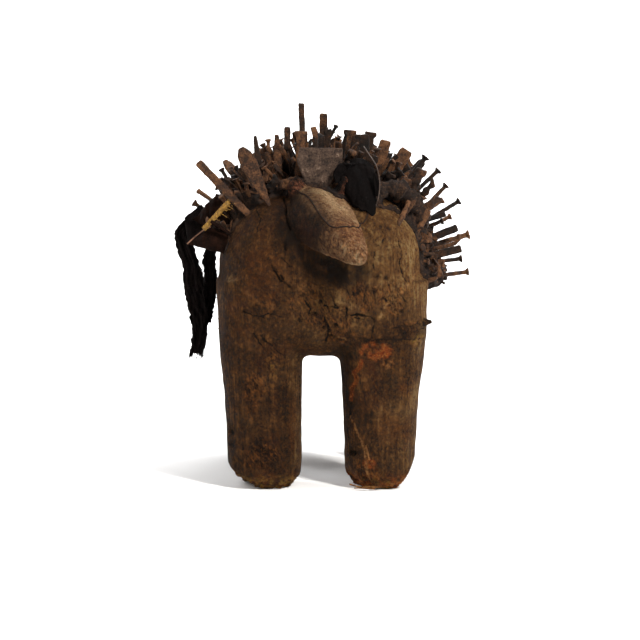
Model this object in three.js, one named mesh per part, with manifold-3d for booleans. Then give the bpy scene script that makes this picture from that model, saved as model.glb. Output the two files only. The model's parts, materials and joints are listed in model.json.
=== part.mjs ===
// A standing pig power figure of carved wood, its back and flanks driven full of iron.
// Millimetres, +Z up. The pig faces -Y and +X is the viewer's right. The origin is under the middle of
// the whole figure, at the level of its feet.
// The wood is one piece. It is the zero level of a field: a barrel, four legs, a head, two ears and a
// tail, blended, with the worn and rotten places bitten out. Iron, hide, cloth and straw are separate
// pieces: every iron stands in a slot cut for it through the packing on the back and into the wood.
import * as THREE from "three";
import { mergeVertices } from "three/addons/utils/BufferGeometryUtils.js";
import Module from "manifold-3d";

const wasm = await Module();
wasm.setup();

// Driving dimensions of the wood.
const SOLE = 0; // level of the feet
const BARREL = { x: 113.5, y: 172, top: 106, belly: 84, z: 220.5, round: { left: 2.6, right: 3 }, blunt: 4 };
const LEG_TOP = 223;
const FLARE_TOP = 165; // up to here the legs widen
const FOOT = { below: 2, worn: 26 }; // how far the foot's form runs on under the ground, and its worn edge
const LEGS = [
  { x: -62, y: -110, wide: 39.5, deep: 42, flare: 7, lean: -5 },
  { x: 61.5, y: -110, wide: 37.5, deep: 42, flare: 11, lean: 3 },
  { x: -64, y: 110, wide: 35, deep: 40, flare: 11, lean: -2 },
  { x: 64, y: 110, wide: 35, deep: 40, flare: 11, lean: 2 },
];
const HEAD = {
  neck: [-6, -132, 300],
  tip: [41.5, -227, 249.5],
  up: [0.3, -0.45, 0.85],
  wide: 29,
  high: 25,
  tipWide: 4,
  tipHigh: 5,
  taper: 1.9,
};
// Each is a tapered rod: both ends, with the radius there.
const JAW = { from: [-13, -152, 285], to: [31, -215, 259], r0: 24, r1: 7 };
const EARS = [
  { from: [-23, -136, 311], to: [-28, -143, 324], r0: 10, r1: 8 },
  { from: [15, -140, 307], to: [23, -149, 330], r0: 9, r1: 3.8 },
];
const TAIL = [
  { from: [0, 158, 300], to: [7, 180, 270], r0: 10, r1: 7.5 },
  { from: [7, 180, 270], to: [1, 183, 234], r0: 7.5, r1: 4.5 },
];
// Rot and wear: balls bitten out of the wood.
const BITES = [
  { at: [-109, -126, -24], r: 45 },
  { at: [6, -136, -5], r: 34 },
  { at: [118, -108, -16], r: 46 },
  { at: [108, 140, 0], r: 20 },
];
// Over what distance two forms blend into each other.
const SOFT = { leg: 10, jaw: 16, ear: 6, tail: 6, bite: 8 };
// Facets of the wood: stretches of each axis with the spacing there.
const TRUNK_GRID = {
  x: [[-162, 162, 18]],
  y: [[-204, -144, 15], [-144, 132, 34.5], [132, 212, 16]],
  z: [[-34, 26, 12], [26, 130, 34], [130, 351, 17]],
};
const HEAD_GRID = {
  x: [[-61, 72, 9.5]],
  y: [[-250, -79, 9.5]],
  z: [[220, 353, 9.5]],
};

// Driving dimensions of the packing and the iron. Angles round the barrel are in degrees from the top.
const PACK = { y0: -122, y1: 138, phi0: -70, phi1: 93, thick: 22, rows: 12, columns: 14 };
const FLANK = { thinner: 0.52, from: [34, 52], to: [74, 86] };
const DRIVEN = 15; // how deep an iron stands in the wood
const GAP = 0.35; // clearance between pieces that touch
const THICK = 2.4; // flat irons

const rad = THREE.MathUtils.degToRad;
const lerp = THREE.MathUtils.lerp;
const clamp01 = (t) => Math.min(1, Math.max(0, t));
const add = (a, b) => a.map((v, i) => v + b[i]);
const sub = (a, b) => a.map((v, i) => v - b[i]);
const times = (a, s) => a.map((v) => v * s);
const dot = (a, b) => a[0] * b[0] + a[1] * b[1] + a[2] * b[2];
const size = (a) => Math.sqrt(dot(a, a));
const unit = (a) => times(a, 1 / size(a));
const cross = (a, b) => [
  a[1] * b[2] - a[2] * b[1],
  a[2] * b[0] - a[0] * b[2],
  a[0] * b[1] - a[1] * b[0],
];

// Smooth minimum and maximum: two surfaces blend where they are within k of each other.
const blendMin = (a, b, k) => Math.min(a, b) - (Math.max(k - Math.abs(a - b), 0) / k) ** 2 * (k / 4);
const blendMax = (a, b, k) => -blendMin(-a, -b, k);

// Roundness of a barrel's or a rod's section: 1 on its outline, growing outwards.
const oval = (u, v, halfU, halfV, power) => Math.abs(u / halfU) ** power + Math.abs(v / halfV) ** power;

// Distance to an outline measured along the ray from its centre.
const alongRay = (length, level, power) => length * (1 - Math.max(level, 1e-9) ** (-1 / power));

// The barrel's section, squarer at the right shoulder than at the left: 1 on its widest outline.
function barrelRing(x, h) {
  const round = x > 0 ? BARREL.round.right : BARREL.round.left;
  return oval(x, h, BARREL.x, h > 0 ? BARREL.top : BARREL.belly, round) ** (1 / round);
}

function barrelField([x, y, z]) {
  const h = z - BARREL.z;
  const level = barrelRing(x, h) ** BARREL.blunt + Math.abs(y / BARREL.y) ** BARREL.blunt;
  return alongRay(Math.hypot(x, y, h), level, BARREL.blunt);
}

function legField([x, y, z], leg) {
  const flare = leg.flare * clamp01(z / FLARE_TOP) ** 2;
  const u = x - leg.x - leg.lean * clamp01(z / LEG_TOP);
  const v = y - leg.y;
  const side = alongRay(Math.hypot(u, v), oval(u, v, leg.wide + flare, leg.deep + flare, 2.5), 2.5);
  return Math.max(blendMax(side, SOLE - FOOT.below - z, FOOT.worn), z - LEG_TOP);
}

// The head is a wedge: a rounded section that narrows along the axis from neck to tip.
const headLine = sub(HEAD.tip, HEAD.neck);
const headLength = size(headLine);
const headAxis = unit(headLine);
const headUp = unit(sub(HEAD.up, times(headAxis, dot(HEAD.up, headAxis))));
const headSide = cross(headAxis, headUp);

function wedgeField(p) {
  const d = sub(p, HEAD.neck);
  const t = dot(d, headAxis) / headLength;
  const full = 1 - clamp01(t) ** HEAD.taper;
  const wide = lerp(HEAD.tipWide, HEAD.wide, full);
  const high = lerp(HEAD.tipHigh, HEAD.high, full);
  const u = dot(d, headSide);
  const v = dot(d, headUp);
  const around = alongRay(Math.hypot(u, v), oval(u, v, wide, high, 3), 3);
  return blendMax(blendMax(around, (t - 1) * headLength, 9), (-t - 0.2) * headLength, 9);
}

function rodField(p, rod) {
  const along = sub(rod.to, rod.from);
  const d = sub(p, rod.from);
  const t = clamp01(dot(d, along) / dot(along, along));
  return size(sub(d, times(along, t))) - lerp(rod.r0, rod.r1, t);
}

function trunkField(p) {
  let f = barrelField(p);
  for (const leg of LEGS) f = blendMin(f, legField(p, leg), SOFT.leg);
  for (const rod of TAIL) f = blendMin(f, rodField(p, rod), SOFT.tail);
  for (const bite of BITES) f = blendMax(f, bite.r - size(sub(p, bite.at)), SOFT.bite);
  return f;
}

// The wedge with its jaw and ears. A crease parts it from the chest, so nothing blends there.
function headField(p) {
  let f = blendMin(wedgeField(p), rodField(p, JAW), SOFT.jaw);
  for (const ear of EARS) f = blendMin(f, rodField(p, ear), SOFT.ear);
  return f;
}

const woodField = (p) => Math.min(trunkField(p), headField(p));

function slope(field, p) {
  const e = 0.5;
  return [0, 1, 2].map((i) => {
    const step = [0, 0, 0];
    step[i] = e;
    return (field(add(p, step)) - field(sub(p, step))) / (2 * e);
  });
}

// Moves a point onto the zero level of the field by Newton steps.
function settle(field, p) {
  for (let i = 0; i < 4; i++) {
    const g = slope(field, p);
    p = sub(p, times(g, field(p) / Math.max(dot(g, g), 0.2)));
  }
  return p;
}

const geometryOf = (points, faces) => {
  const geometry = new THREE.BufferGeometry();
  geometry.setAttribute("position", new THREE.Float32BufferAttribute(points.flat(), 3));
  geometry.setIndex(faces);
  return geometry;
};

// The grid's lines along one axis.
function gridLines(stretches) {
  const lines = [stretches[0][0]];
  for (const [from, to, step] of stretches) {
    const count = Math.round((to - from) / step);
    for (let i = 1; i <= count; i++) lines.push(lerp(from, to, i / count));
  }
  return lines;
}

// Surface nets: one vertex in each cell that the surface crosses, one quad for each crossed grid edge.
function skin(field, grid) {
  const lines = [grid.x, grid.y, grid.z].map(gridLines);
  const n = lines.map((line) => line.length);
  const at = (i, j, k) => (k * n[1] + j) * n[0] + i;
  const place = (...c) => c.map((index, axis) => lines[axis][index]);
  const value = new Float64Array(n[0] * n[1] * n[2]);
  const everyCell = (short, visit) => {
    for (let k = 0; k < n[2] - short; k++) {
      for (let j = 0; j < n[1] - short; j++) {
        for (let i = 0; i < n[0] - short; i++) visit([i, j, k]);
      }
    }
  };
  everyCell(0, (c) => (value[at(...c)] = field(place(...c))));
  // The four cells or corners round an edge along one axis, in order.
  const round = (c, axis, s, t, sign) => {
    const moved = [...c];
    moved[(axis + 1) % 3] += sign * s;
    moved[(axis + 2) % 3] += sign * t;
    return moved;
  };
  const ahead = (c, axis) => c.map((v, m) => v + (m === axis ? 1 : 0));
  const SQUARE = [[0, 0], [1, 0], [1, 1], [0, 1]];
  const points = [];
  const vertex = new Int32Array(value.length).fill(-1);
  everyCell(1, (c) => {
    const crossings = [];
    for (let axis = 0; axis < 3; axis++)
      for (const [s, t] of SQUARE) {
        const a = round(c, axis, s, t, 1);
        const b = ahead(a, axis);
        const [va, vb] = [value[at(...a)], value[at(...b)]];
        if (va < 0 === vb < 0) continue;
        const [pa, pb] = [place(...a), place(...b)];
        crossings.push(add(pa, times(sub(pb, pa), va / (va - vb))));
      }
    if (!crossings.length) return;
    vertex[at(...c)] = points.length;
    points.push(settle(field, times(crossings.reduce(add), 1 / crossings.length)));
  });
  const faces = [];
  everyCell(1, (c) => {
    if (Math.min(...c) < 1) return;
    for (let axis = 0; axis < 3; axis++) {
      const inside = value[at(...c)] < 0;
      if (inside === value[at(...ahead(c, axis))] < 0) continue;
      const quad = SQUARE.map(([s, t]) => vertex[at(...round(c, axis, s, t, -1))]);
      if (!inside) quad.reverse();
      const [a, b, d, e] = quad;
      const shorter = size(sub(points[a], points[d])) < size(sub(points[b], points[e]));
      faces.push(...(shorter ? [a, b, d, a, d, e] : [b, d, e, b, e, a]));
    }
  });
  return solid(geometryOf(points, faces));
}

// A closed geometry as a solid, and a solid as a geometry.
function solid(geometry) {
  const bare = geometry.clone();
  bare.deleteAttribute("normal");
  bare.deleteAttribute("uv");
  const merged = mergeVertices(bare, 1e-3);
  const vertProperties = merged.attributes.position.array;
  const triVerts = new Uint32Array(merged.index.array);
  return new wasm.Manifold(new wasm.Mesh({ numProp: 3, vertProperties, triVerts }));
}

function surface(made) {
  const mesh = made.getMesh();
  const geometry = new THREE.BufferGeometry();
  geometry.setAttribute("position", new THREE.BufferAttribute(mesh.vertProperties, 3));
  geometry.setIndex(new THREE.BufferAttribute(mesh.triVerts, 1));
  geometry.computeVertexNormals();
  return geometry;
}

// The largest body of a solid, without the chips that a cut leaves loose.
const largest = (made) => made.decompose().reduce((a, b) => (a.volume() > b.volume() ? a : b));

// The carving, cut off flat at the soles.
const ground = solid(new THREE.BoxGeometry(600, 800, 200).translate(0, 0, SOLE - 100));
const wood = skin(trunkField, TRUNK_GRID).add(skin(headField, HEAD_GRID)).subtract(ground);

// The point that stands out from the barrel's surface at station y, at the angle phi round it.
function onBarrel(y, phi, out) {
  const s = Math.sin(rad(phi));
  const c = Math.cos(rad(phi));
  const shrink = Math.max(1 - Math.abs(y / BARREL.y) ** BARREL.blunt, 1e-6) ** (1 / BARREL.blunt);
  const r = shrink / barrelRing(s, c) + out;
  return [r * s, y, BARREL.z + r * c];
}

// A closed shell between two grids of points: face(s, t, side) with side 1 in front and -1 behind, for
// s and t from 0 to 1. Seen from the front, t runs to the left of s.
function shell(face, across, along) {
  const points = [];
  for (const side of [1, -1]) {
    for (let j = 0; j <= along; j++) {
      for (let i = 0; i <= across; i++) points.push(face(i / across, j / along, side));
    }
  }
  const row = across + 1;
  const behind = row * (along + 1);
  const faces = [];
  const quad = (a, b, c, d) => faces.push(a, b, c, a, c, d);
  const rim = (a, b) => quad(a, behind + a, behind + b, b);
  for (let j = 0; j < along; j++) {
    const left = j * row;
    for (let i = 0; i < across; i++) {
      const a = left + i;
      quad(a, a + 1, a + row + 1, a + row);
      quad(behind + a, behind + a + row, behind + a + row + 1, behind + a + 1);
    }
    rim(left + row, left);
    rim(left + across, left + across + row);
  }
  for (let i = 0; i < across; i++) {
    rim(i, i + 1);
    rim(along * row + i + 1, along * row + i);
  }
  return solid(geometryOf(points, faces));
}

// The packing: a saddle over back and flanks, thin at its front and upper edges and along the right flank,
// blunt and thick at its right end.
function packingThickness(y, phi) {
  const { smoothstep } = THREE.MathUtils;
  const flank = 1 - FLANK.thinner * smoothstep(phi, ...FLANK.from) * (1 - smoothstep(phi, ...FLANK.to));
  const ends = Math.min(1, (y - PACK.y0) / 60 + 0.35, (PACK.y1 - y) / 50 + 0.3);
  const sides = Math.min(1, (phi - PACK.phi0) / 30 + 0.4, (PACK.phi1 - phi) / 12 + 0.75);
  const lumps = Math.sin(y * 0.11 + phi * 0.13) + Math.sin(y * 0.07 - phi * 0.19 + 1);
  return PACK.thick * ends * sides * flank + 1.8 * lumps;
}

// Its underside follows the wood, a little clear of it.
function saddle() {
  const clear = 6.5 * GAP;
  const face = (s, t, side) => {
    const y = lerp(PACK.y0, PACK.y1, t);
    const phi = lerp(PACK.phi0, PACK.phi1, s);
    if (side > 0) return onBarrel(y, phi, packingThickness(y, phi));
    return settle((p) => woodField(p) - clear, onBarrel(y, phi, clear));
  };
  return shell(face, PACK.columns, PACK.rows);
}

// Iron. Each piece is made along its own +Z, with z = 0 at the wood and its point at -DRIVEN.
const standUp = (geometry) => geometry.rotateX(Math.PI / 2);
const lathe = (profile, sides) =>
  standUp(new THREE.LatheGeometry(profile.map(([r, z]) => new THREE.Vector2(r, z)), sides));

// A flat piece: half-widths as shares of the width at given heights, its top leaning aside by skew.
function plate(profile, width, skew = 0) {
  const point = (share, z) => new THREE.Vector2((width / 2) * share + skew * Math.max(z, 0), z);
  const right = profile.map(([share, z]) => point(share, z));
  const left = profile.map(([share, z]) => point(-share, z)).reverse();
  const flat = { depth: THICK, bevelEnabled: false };
  return standUp(new THREE.ExtrudeGeometry(new THREE.Shape([...right, ...left]), flat).translate(0, 0, -THICK / 2));
}

function polygon(radius, sides) {
  const corner = (i) => (2 * Math.PI * i) / sides;
  const corners = [...Array(sides).keys()].map(corner);
  return new THREE.Shape(corners.map((a) => new THREE.Vector2(radius * Math.cos(a), radius * Math.sin(a))));
}

const IRON = {
  // A wire nail: round shank, flat head on a short cone.
  nail: ({ out, width }) => {
    const r = width / 2;
    const head = r * 1.9;
    const profile = [[0, -DRIVEN], [r, 5 - DRIVEN], [r, out - 3.4], [head, out - 1.2], [head, out], [0, out]];
    return lathe(profile, 5);
  },
  // A forged nail: square, tapered, with a small clenched head.
  spike: ({ out, width }) => {
    const r = width * 0.6;
    return lathe([[0, -DRIVEN], [r * 0.75, 0], [r, out - 4], [r * 1.35, out - 1.5], [r * 0.9, out], [0, out]], 4);
  },
  // A flat bar, one upper corner broken lower than the other.
  bar: ({ out, width }) => plate([[0.3, -DRIVEN], [0.8, 0], [1, out * 0.5], [1, out - width * 0.2], [0.8, out]], width),
  // A bar beaten out to a T at its upper end.
  headed_bar: ({ out, width }) =>
    plate([[0.4, -DRIVEN], [0.75, 0], [0.8, out - 7], [1.25, out - 4], [1.25, out]], width, 0.02),
  // A leaf-shaped blade standing on its point.
  blade: ({ out, width }) =>
    plate([[0.1, -DRIVEN], [0.2, 0], [0.7, out * 0.42], [1, out * 0.72], [0.8, out * 0.9], [0.3, out]], width, -0.04),
  // A tapering splinter of iron, widest at its root.
  splinter: ({ out, width }) =>
    plate([[0.5, -DRIVEN], [0.95, 0], [1, out * 0.45], [0.75, out * 0.8], [0.4, out]], width, 0.03),
  // A sheet cut to a broad top, driven by its narrow end.
  sheet: ({ out, width }) =>
    plate([[0.12, -DRIVEN], [0.22, 3], [0.66, out * 0.42], [0.95, out * 0.72], [0.9, out]], width, 0.08),
  // A nail bent over into a hook, swept along its bend.
  hook: ({ out, width }) => {
    const knee = new THREE.Vector3(0, 0, out - 7);
    const bend = new THREE.CurvePath();
    bend.add(new THREE.LineCurve3(new THREE.Vector3(0, 0, -DRIVEN), knee));
    bend.add(new THREE.QuadraticBezierCurve3(knee, new THREE.Vector3(0, 0, out), new THREE.Vector3(-9, 0, out)));
    const path = new THREE.CatmullRomCurve3([...Array(9).keys()].map((i) => bend.getPoint(i / 8)));
    return new THREE.ExtrudeGeometry(polygon(width / 2, 6), { steps: 10, bevelEnabled: false, extrudePath: path });
  },
};
const ROUND = ["nail", "spike", "hook"];

// Where each iron stands: its station y and angle phi, how far it stands out of the wood, its width, and
// how it departs from the barrel's radius: swing to the side, lean to the front, twist about itself.
const irons = [
  // The fan of nails at the viewer's right, from the shoulder down the flank.
  { name: "broad_nail_right", kind: "nail", y: -52, phi: 41.6, out: 54, width: 5.6, swing: -4 },
  { name: "nail_right_01", kind: "nail", y: -64, phi: 46.8, out: 52, width: 4.8 },
  { name: "nail_right_02", kind: "nail", y: -46, phi: 57.4, out: 50, width: 4.8, swing: -15 },
  { name: "nail_right_03", kind: "nail", y: -76, phi: 56.5, out: 36, width: 4.2 },
  { name: "nail_right_04", kind: "nail", y: -58, phi: 61, out: 52, width: 4.8, swing: -2 },
  { name: "flat_nail_right", kind: "bar", y: -88, phi: 59, out: 32, width: 5, swing: 12 },
  { name: "nail_right_05", kind: "nail", y: -38, phi: 63.4, out: 27, width: 4.2, swing: 8 },
  { name: "bar_right_01", kind: "bar", y: -68, phi: 69.3, out: 40, width: 8, swing: -1 },
  { name: "nail_right_06", kind: "nail", y: -50, phi: 73.3, out: 52, width: 5.8 },
  { name: "hooked_nail_right", kind: "hook", y: -78, phi: 74.5, out: 41, width: 4.6, swing: 1 },
  { name: "bar_right_04", kind: "bar", y: -88, phi: 77.5, out: 41, width: 8, swing: -2 },
  { name: "nail_right_07", kind: "nail", y: -40, phi: 82.2, out: 42, width: 4.6 },
  { name: "nail_right_08", kind: "nail", y: -30, phi: 90.4, out: 50, width: 4.8, swing: -8 },
  { name: "bar_right_02", kind: "bar", y: -130, phi: 50, out: 22, width: 6, swing: -16 },
  { name: "bar_right_03", kind: "bar", y: -118, phi: 62, out: 27, width: 6, swing: -33 },
  // The front edge of the back, from the viewer's left to right.
  { name: "bar_left_end", kind: "bar", y: -128, phi: -47, out: 76, width: 8, swing: 3 },
  { name: "leaf_blade_left", kind: "blade", y: -138, phi: -34, out: 67, width: 18, swing: 10 },
  { name: "splinter_left", kind: "splinter", y: -112, phi: -35.5, out: 67, width: 7, swing: 27 },
  { name: "nail_left_01", kind: "nail", y: -84, phi: -23, out: 52, width: 3.8, swing: -2 },
  { name: "nail_left_02", kind: "nail", y: -66, phi: -28.4, out: 54, width: 3.8, swing: 22 },
  { name: "splinter_left_02", kind: "splinter", y: -104, phi: -25.7, out: 60, width: 9, swing: 22 },
  { name: "bar_left_02", kind: "bar", y: -95, phi: -20.7, out: 65, width: 6.5, swing: 21 },
  { name: "headed_bar_top", kind: "headed_bar", y: -122, phi: -14.7, out: 64, width: 11, swing: 16 },
  { name: "tall_spike_top", kind: "bar", y: -88, phi: -10.9, out: 88, width: 6, swing: 9 },
  { name: "iron_sheet_top", kind: "sheet", y: -140, phi: -4, out: 52, width: 50, swing: 5 },
  { name: "chisel_top", kind: "bar", y: -52, phi: 0.4, out: 75, width: 8.5 },
  { name: "nail_top_01", kind: "nail", y: -76, phi: -10, out: 72, width: 3.4, swing: 38 },
  { name: "bar_top_01", kind: "headed_bar", y: -62, phi: 13, out: 58, width: 11, swing: -8 },
  { name: "ribbed_plate_top", kind: "bar", y: -88, phi: 22.7, out: 56, width: 16, swing: -23 },
  { name: "headed_bar_right", kind: "headed_bar", y: -60, phi: 23.7, out: 58, width: 10, swing: -17 },
  { name: "bar_top_02", kind: "bar", y: -74, phi: 28, out: 53, width: 12, swing: -11 },
  { name: "broad_bar_right", kind: "bar", y: -84, phi: 33, out: 52, width: 14 },
  { name: "scrap_right_front", kind: "bar", y: -118, phi: 44, out: 30, width: 13, swing: -24 },
  { name: "nail_left_03", kind: "nail", y: -60, phi: -47.4, out: 47, width: 4, swing: 17 },
  { name: "nail_left_low", kind: "nail", y: -70, phi: -60, out: 46, width: 4.6, swing: 3 },
  // The back, behind the first rows.
  { name: "blade_back_left", kind: "blade", y: -14, phi: -40, out: 52, width: 18, twist: 60 },
  { name: "blade_back_mid", kind: "blade", y: 20, phi: 4, out: 60, width: 20, twist: 80, swing: -6 },
  { name: "bar_back_right", kind: "bar", y: 44, phi: 42, out: 50, width: 11, twist: 35 },
  { name: "sheet_back_left", kind: "sheet", y: 70, phi: -28, out: 44, width: 34, twist: 70 },
  { name: "blade_rump", kind: "blade", y: 112, phi: 12, out: 52, width: 16, twist: 20, lean: -14 },
];
// Nails in rings over the rest of the back and the rump, each turned a little from its neighbour.
const RINGS = [
  { y: 6, phis: [-56, 24, 66] },
  { y: 62, phis: [-4, 74] },
  { y: 104, phis: [-50, 40] },
];
RINGS.forEach(({ y, phis }, ring) =>
  phis.forEach((phi, i) =>
    irons.push({
      name: `nail_back_${ring + 1}${i + 1}`,
      kind: (ring + i) % 3 ? "nail" : "spike",
      y: y + 7 * Math.sin(5 * ring + 3 * i),
      phi,
      out: 44 + 8 * Math.sin(2 + 4 * i + ring),
      width: 4.4,
      swing: 7 * Math.sin(3 * i + ring),
      lean: -4 - 7 * ring,
    }),
  ),
);

function ironMatrix({ y, phi, swing = 0, lean = 0, twist = 0 }, out = 0) {
  const turn = new THREE.Matrix4()
    .makeRotationY(rad(phi + swing))
    .multiply(new THREE.Matrix4().makeRotationX(rad(lean)))
    .multiply(new THREE.Matrix4().makeRotationZ(rad(twist)));
  return new THREE.Matrix4().makeTranslation(...onBarrel(y, phi, out)).multiply(turn);
}

// The slot that an iron stands in: a square or flat hole a little larger than its shank.
function slotOf(iron) {
  const wide = (iron.kind === "sheet" ? iron.width * 0.75 : iron.width * 1.04) + 2 * GAP;
  const deep = (ROUND.includes(iron.kind) ? iron.width * 1.04 : THICK) + 2 * GAP;
  const above = Math.min(iron.out - 6, PACK.thick + 12);
  const box = new THREE.BoxGeometry(wide, deep, DRIVEN + GAP + above);
  box.translate(0, 0, (above - DRIVEN - GAP) / 2);
  return solid(box.applyMatrix4(ironMatrix(iron)));
}

// Whether two irons keep clear of each other, judged from points along both.
function apart(a, b) {
  const along = (iron) => {
    const matrix = ironMatrix(iron, iron.root ?? 0);
    return [0, 0.25, 0.5, 0.75, 1].map((t) => new THREE.Vector3(0, 0, iron.out * t).applyMatrix4(matrix));
  };
  const near = (a.width + b.width) / 2 + 4;
  return along(a).every((p) => along(b).every((q) => p.distanceTo(q) > near + Math.abs(p.y - q.y) * 0.2));
}

// Small irons, too many to be pieces of their own: short flat bars set close over the whole packing.
function smallIrons() {
  const made = [];
  const step = { y: 42, phi: 20 };
  for (let y = PACK.y0 + 16; y < PACK.y1 - 8; y += step.y)
    for (let phi = PACK.phi0 + 6; phi < PACK.phi1 - 8; phi += step.phi) {
      const wave = Math.sin(y * 1.7 + phi * 2.3);
      const other = Math.sin(y * 2.9 - phi * 1.1);
      const tall = Math.abs(phi + 13) < 36 ? 28 + 9 * wave : 13 + 5 * wave;
      const place = { y: y + 6 * other, phi: phi + 4 * wave, swing: 14 * other, twist: 50 * wave };
      const iron = { ...place, root: packingThickness(y, phi) - 8, out: 8 + tall, width: 8 + 3 * other };
      if (irons.every((named) => apart(iron, named))) made.push(iron);
    }
  return made.map((iron) => {
    const flat = plate([[0.9, 0], [1, iron.out]], iron.width);
    return solid(flat.applyMatrix4(ironMatrix(iron, iron.root)));
  });
}

// Hide, cloth and straw: a bent sheet as a closed solid. place(s, t) gives its middle surface for s and t
// from 0 to 1, and the two faces stand half the thickness off it. With a clearance it is the slot round
// the sheet: the faces further apart, and one more row round the edge.
function bentSheet({ place, thick, across, along }, clear = 0) {
  const rim = clear > 0 ? 1 : 0;
  const reach = clear / 20;
  const share = (u, count) => {
    const step = Math.round(u * (count + 2 * rim)) - rim;
    return step < 0 ? -reach : step > count ? 1 + reach : step / count;
  };
  const e = 1e-3;
  const face = (u, v, side) => {
    const s = share(u, across);
    const t = share(v, along);
    const ds = sub(place(s + e, t), place(s - e, t));
    const dt = sub(place(s, t + e), place(s, t - e));
    return add(place(s, t), times(unit(cross(ds, dt)), side * (thick / 2 + clear)));
  };
  return shell(face, across + 2 * rim, along + 2 * rim);
}

// A strip that follows a smooth route. Its width lies level, at an angle to X that eases from the first
// value to the second over the first third of its length, and changes along it through the given widths.
// cup is how far its middle stands forward of its edges.
function strip({ route, widths, angles, thick, cup = 0, along = 10 }) {
  const curve = new THREE.CatmullRomCurve3(route.map((p) => new THREE.Vector3(...p)));
  const widthAt = (t) => {
    const u = clamp01(t) * (widths.length - 1);
    const i = Math.min(Math.floor(u), widths.length - 2);
    return lerp(widths[i], widths[i + 1], u - i);
  };
  const place = (s, t) => {
    const end = clamp01(t);
    const p = curve.getPoint(end).add(curve.getTangent(end).multiplyScalar((t - end) * curve.getLength()));
    const angle = rad(lerp(angles[0], angles[1], THREE.MathUtils.smoothstep(t, 0, 0.33)));
    const off = (s - 0.5) * widthAt(t);
    return [p.x + off * Math.cos(angle), p.y + off * Math.sin(angle) - cup * 4 * s * (1 - s), p.z];
  };
  return { place, thick, across: cup ? 4 : 2, along };
}

// A patch stretched between four corners, bulging by the given vector at its middle.
function patch({ corners: [a, b, c, d], bulge, thick }) {
  const place = (s, t) => {
    const top = add(times(a, 1 - s), times(b, s));
    const foot = add(times(d, 1 - s), times(c, s));
    const swell = 16 * s * (1 - s) * t * (1 - t);
    return add(add(times(top, 1 - t), times(foot, t)), times(bulge, swell));
  };
  return { place, thick, across: 3, along: 3 };
}

const softPieces = {
  // A black hide hood that hangs beside the crown of the head, over the front edge of the packing.
  black_hide_flap: strip({
    route: [[38, -100, 328], [38, -107, 347], [39, -126, 346], [41, -146, 322], [45, -150, 295]],
    widths: [22, 30, 36, 36, 22],
    angles: [0, 0],
    thick: 3,
    cup: 5,
    along: 7,
  }),
  hide_flap_left: patch({
    corners: [[-146, -98, 261], [-122, -108, 279], [-97, -118, 270], [-103, -114, 251]],
    bulge: [-2, -6, -3],
    thick: 2.6,
  }),
  hide_wrap_left: patch({
    corners: [[-142, -84, 286], [-118, -96, 310], [-86, -108, 298], [-103, -110, 272]],
    bulge: [-4, -4, 4],
    thick: 2.6,
  }),
  cloth_gather_left: patch({
    corners: [[-150, -80, 288], [-131, -80, 303], [-119, -84, 268], [-146, -80, 258]],
    bulge: [-3, 0, 0],
    thick: 2.4,
  }),
  straw_strip: strip({
    route: [[-127, -113, 277], [-114, -120, 290], [-105, -124, 300], [-99, -123, 306]],
    widths: [6, 7.5, 7.5, 6],
    angles: [35, 35],
    thick: 2,
    along: 3,
  }),
  cloth_strip_outer: strip({
    route: [
      [-112, -66, 279], [-136, -66, 289], [-152, -66, 274], [-150, -66, 255],
      [-143, -66, 230], [-139, -66, 198], [-135, -66, 166], [-139, -66, 136],
    ],
    widths: [18, 18, 18, 19, 22, 21, 17, 15],
    angles: [90, 0],
    thick: 2.4,
  }),
  cloth_strip_inner: strip({
    route: [[-113, -50, 260], [-120.5, -51, 261], [-124.5, -52, 246], [-123, -54, 223], [-126, -55, 196], [-130, -55, 170]],
    widths: [13, 13, 14, 15, 14, 12],
    angles: [70, 4],
    thick: 2.4,
    along: 8,
  }),
};

// Finishes.
const finish = (color, roughness, metalness = 0) =>
  new THREE.MeshStandardMaterial({ color, roughness, metalness, flatShading: true });
const WOOD = finish(0x5a3f29, 0.8);
const PACKING = finish(0x2b211b, 0.95);
const RUST = [finish(0x3c2f27, 0.85, 0.3), finish(0x4a372a, 0.85, 0.3), finish(0x5f4232, 0.85, 0.3)];
const BARE_IRON = finish(0x4f4038, 0.6, 0.5);
const SOFT_FINISH = {
  black_hide_flap: finish(0x100b0b, 0.9),
  hide_flap_left: finish(0x3c2a22, 0.85),
  hide_wrap_left: finish(0x2a1e18, 0.85),
  cloth_gather_left: finish(0x130e0e, 0.95),
  straw_strip: finish(0xbe914b, 0.8),
  cloth_strip_outer: finish(0x130e0e, 0.95),
  cloth_strip_inner: finish(0x130e0e, 0.95),
};

const figure = new THREE.Group();
function place(name, geometry, material) {
  const mesh = new THREE.Mesh(geometry, material);
  mesh.name = name;
  figure.add(mesh);
}

const slots = wasm.Manifold.union(irons.map(slotOf));
const softSlots = wasm.Manifold.union(Object.values(softPieces).map((piece) => bentSheet(piece, 3 * GAP)));
const packing = wasm.Manifold.union([saddle(), ...smallIrons()])
  .subtract(slots)
  .subtract(softSlots);

place("pig_body", surface(wood.subtract(slots).subtract(softSlots)), WOOD);
place("packing", surface(largest(packing)), PACKING);
irons.forEach((iron, i) => {
  const geometry = IRON[iron.kind](iron).applyMatrix4(ironMatrix(iron));
  place(iron.name, geometry, iron.kind === "sheet" ? BARE_IRON : RUST[i % RUST.length]);
});
for (const [name, piece] of Object.entries(softPieces)) place(name, surface(bentSheet(piece)), SOFT_FINISH[name]);

// The figure is moved so that its origin is under the middle of its whole extent.
const middle = new THREE.Box3().setFromObject(figure, true).getCenter(new THREE.Vector3());
figure.position.set(-middle.x, -middle.y, -SOLE);

export default figure;
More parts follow.
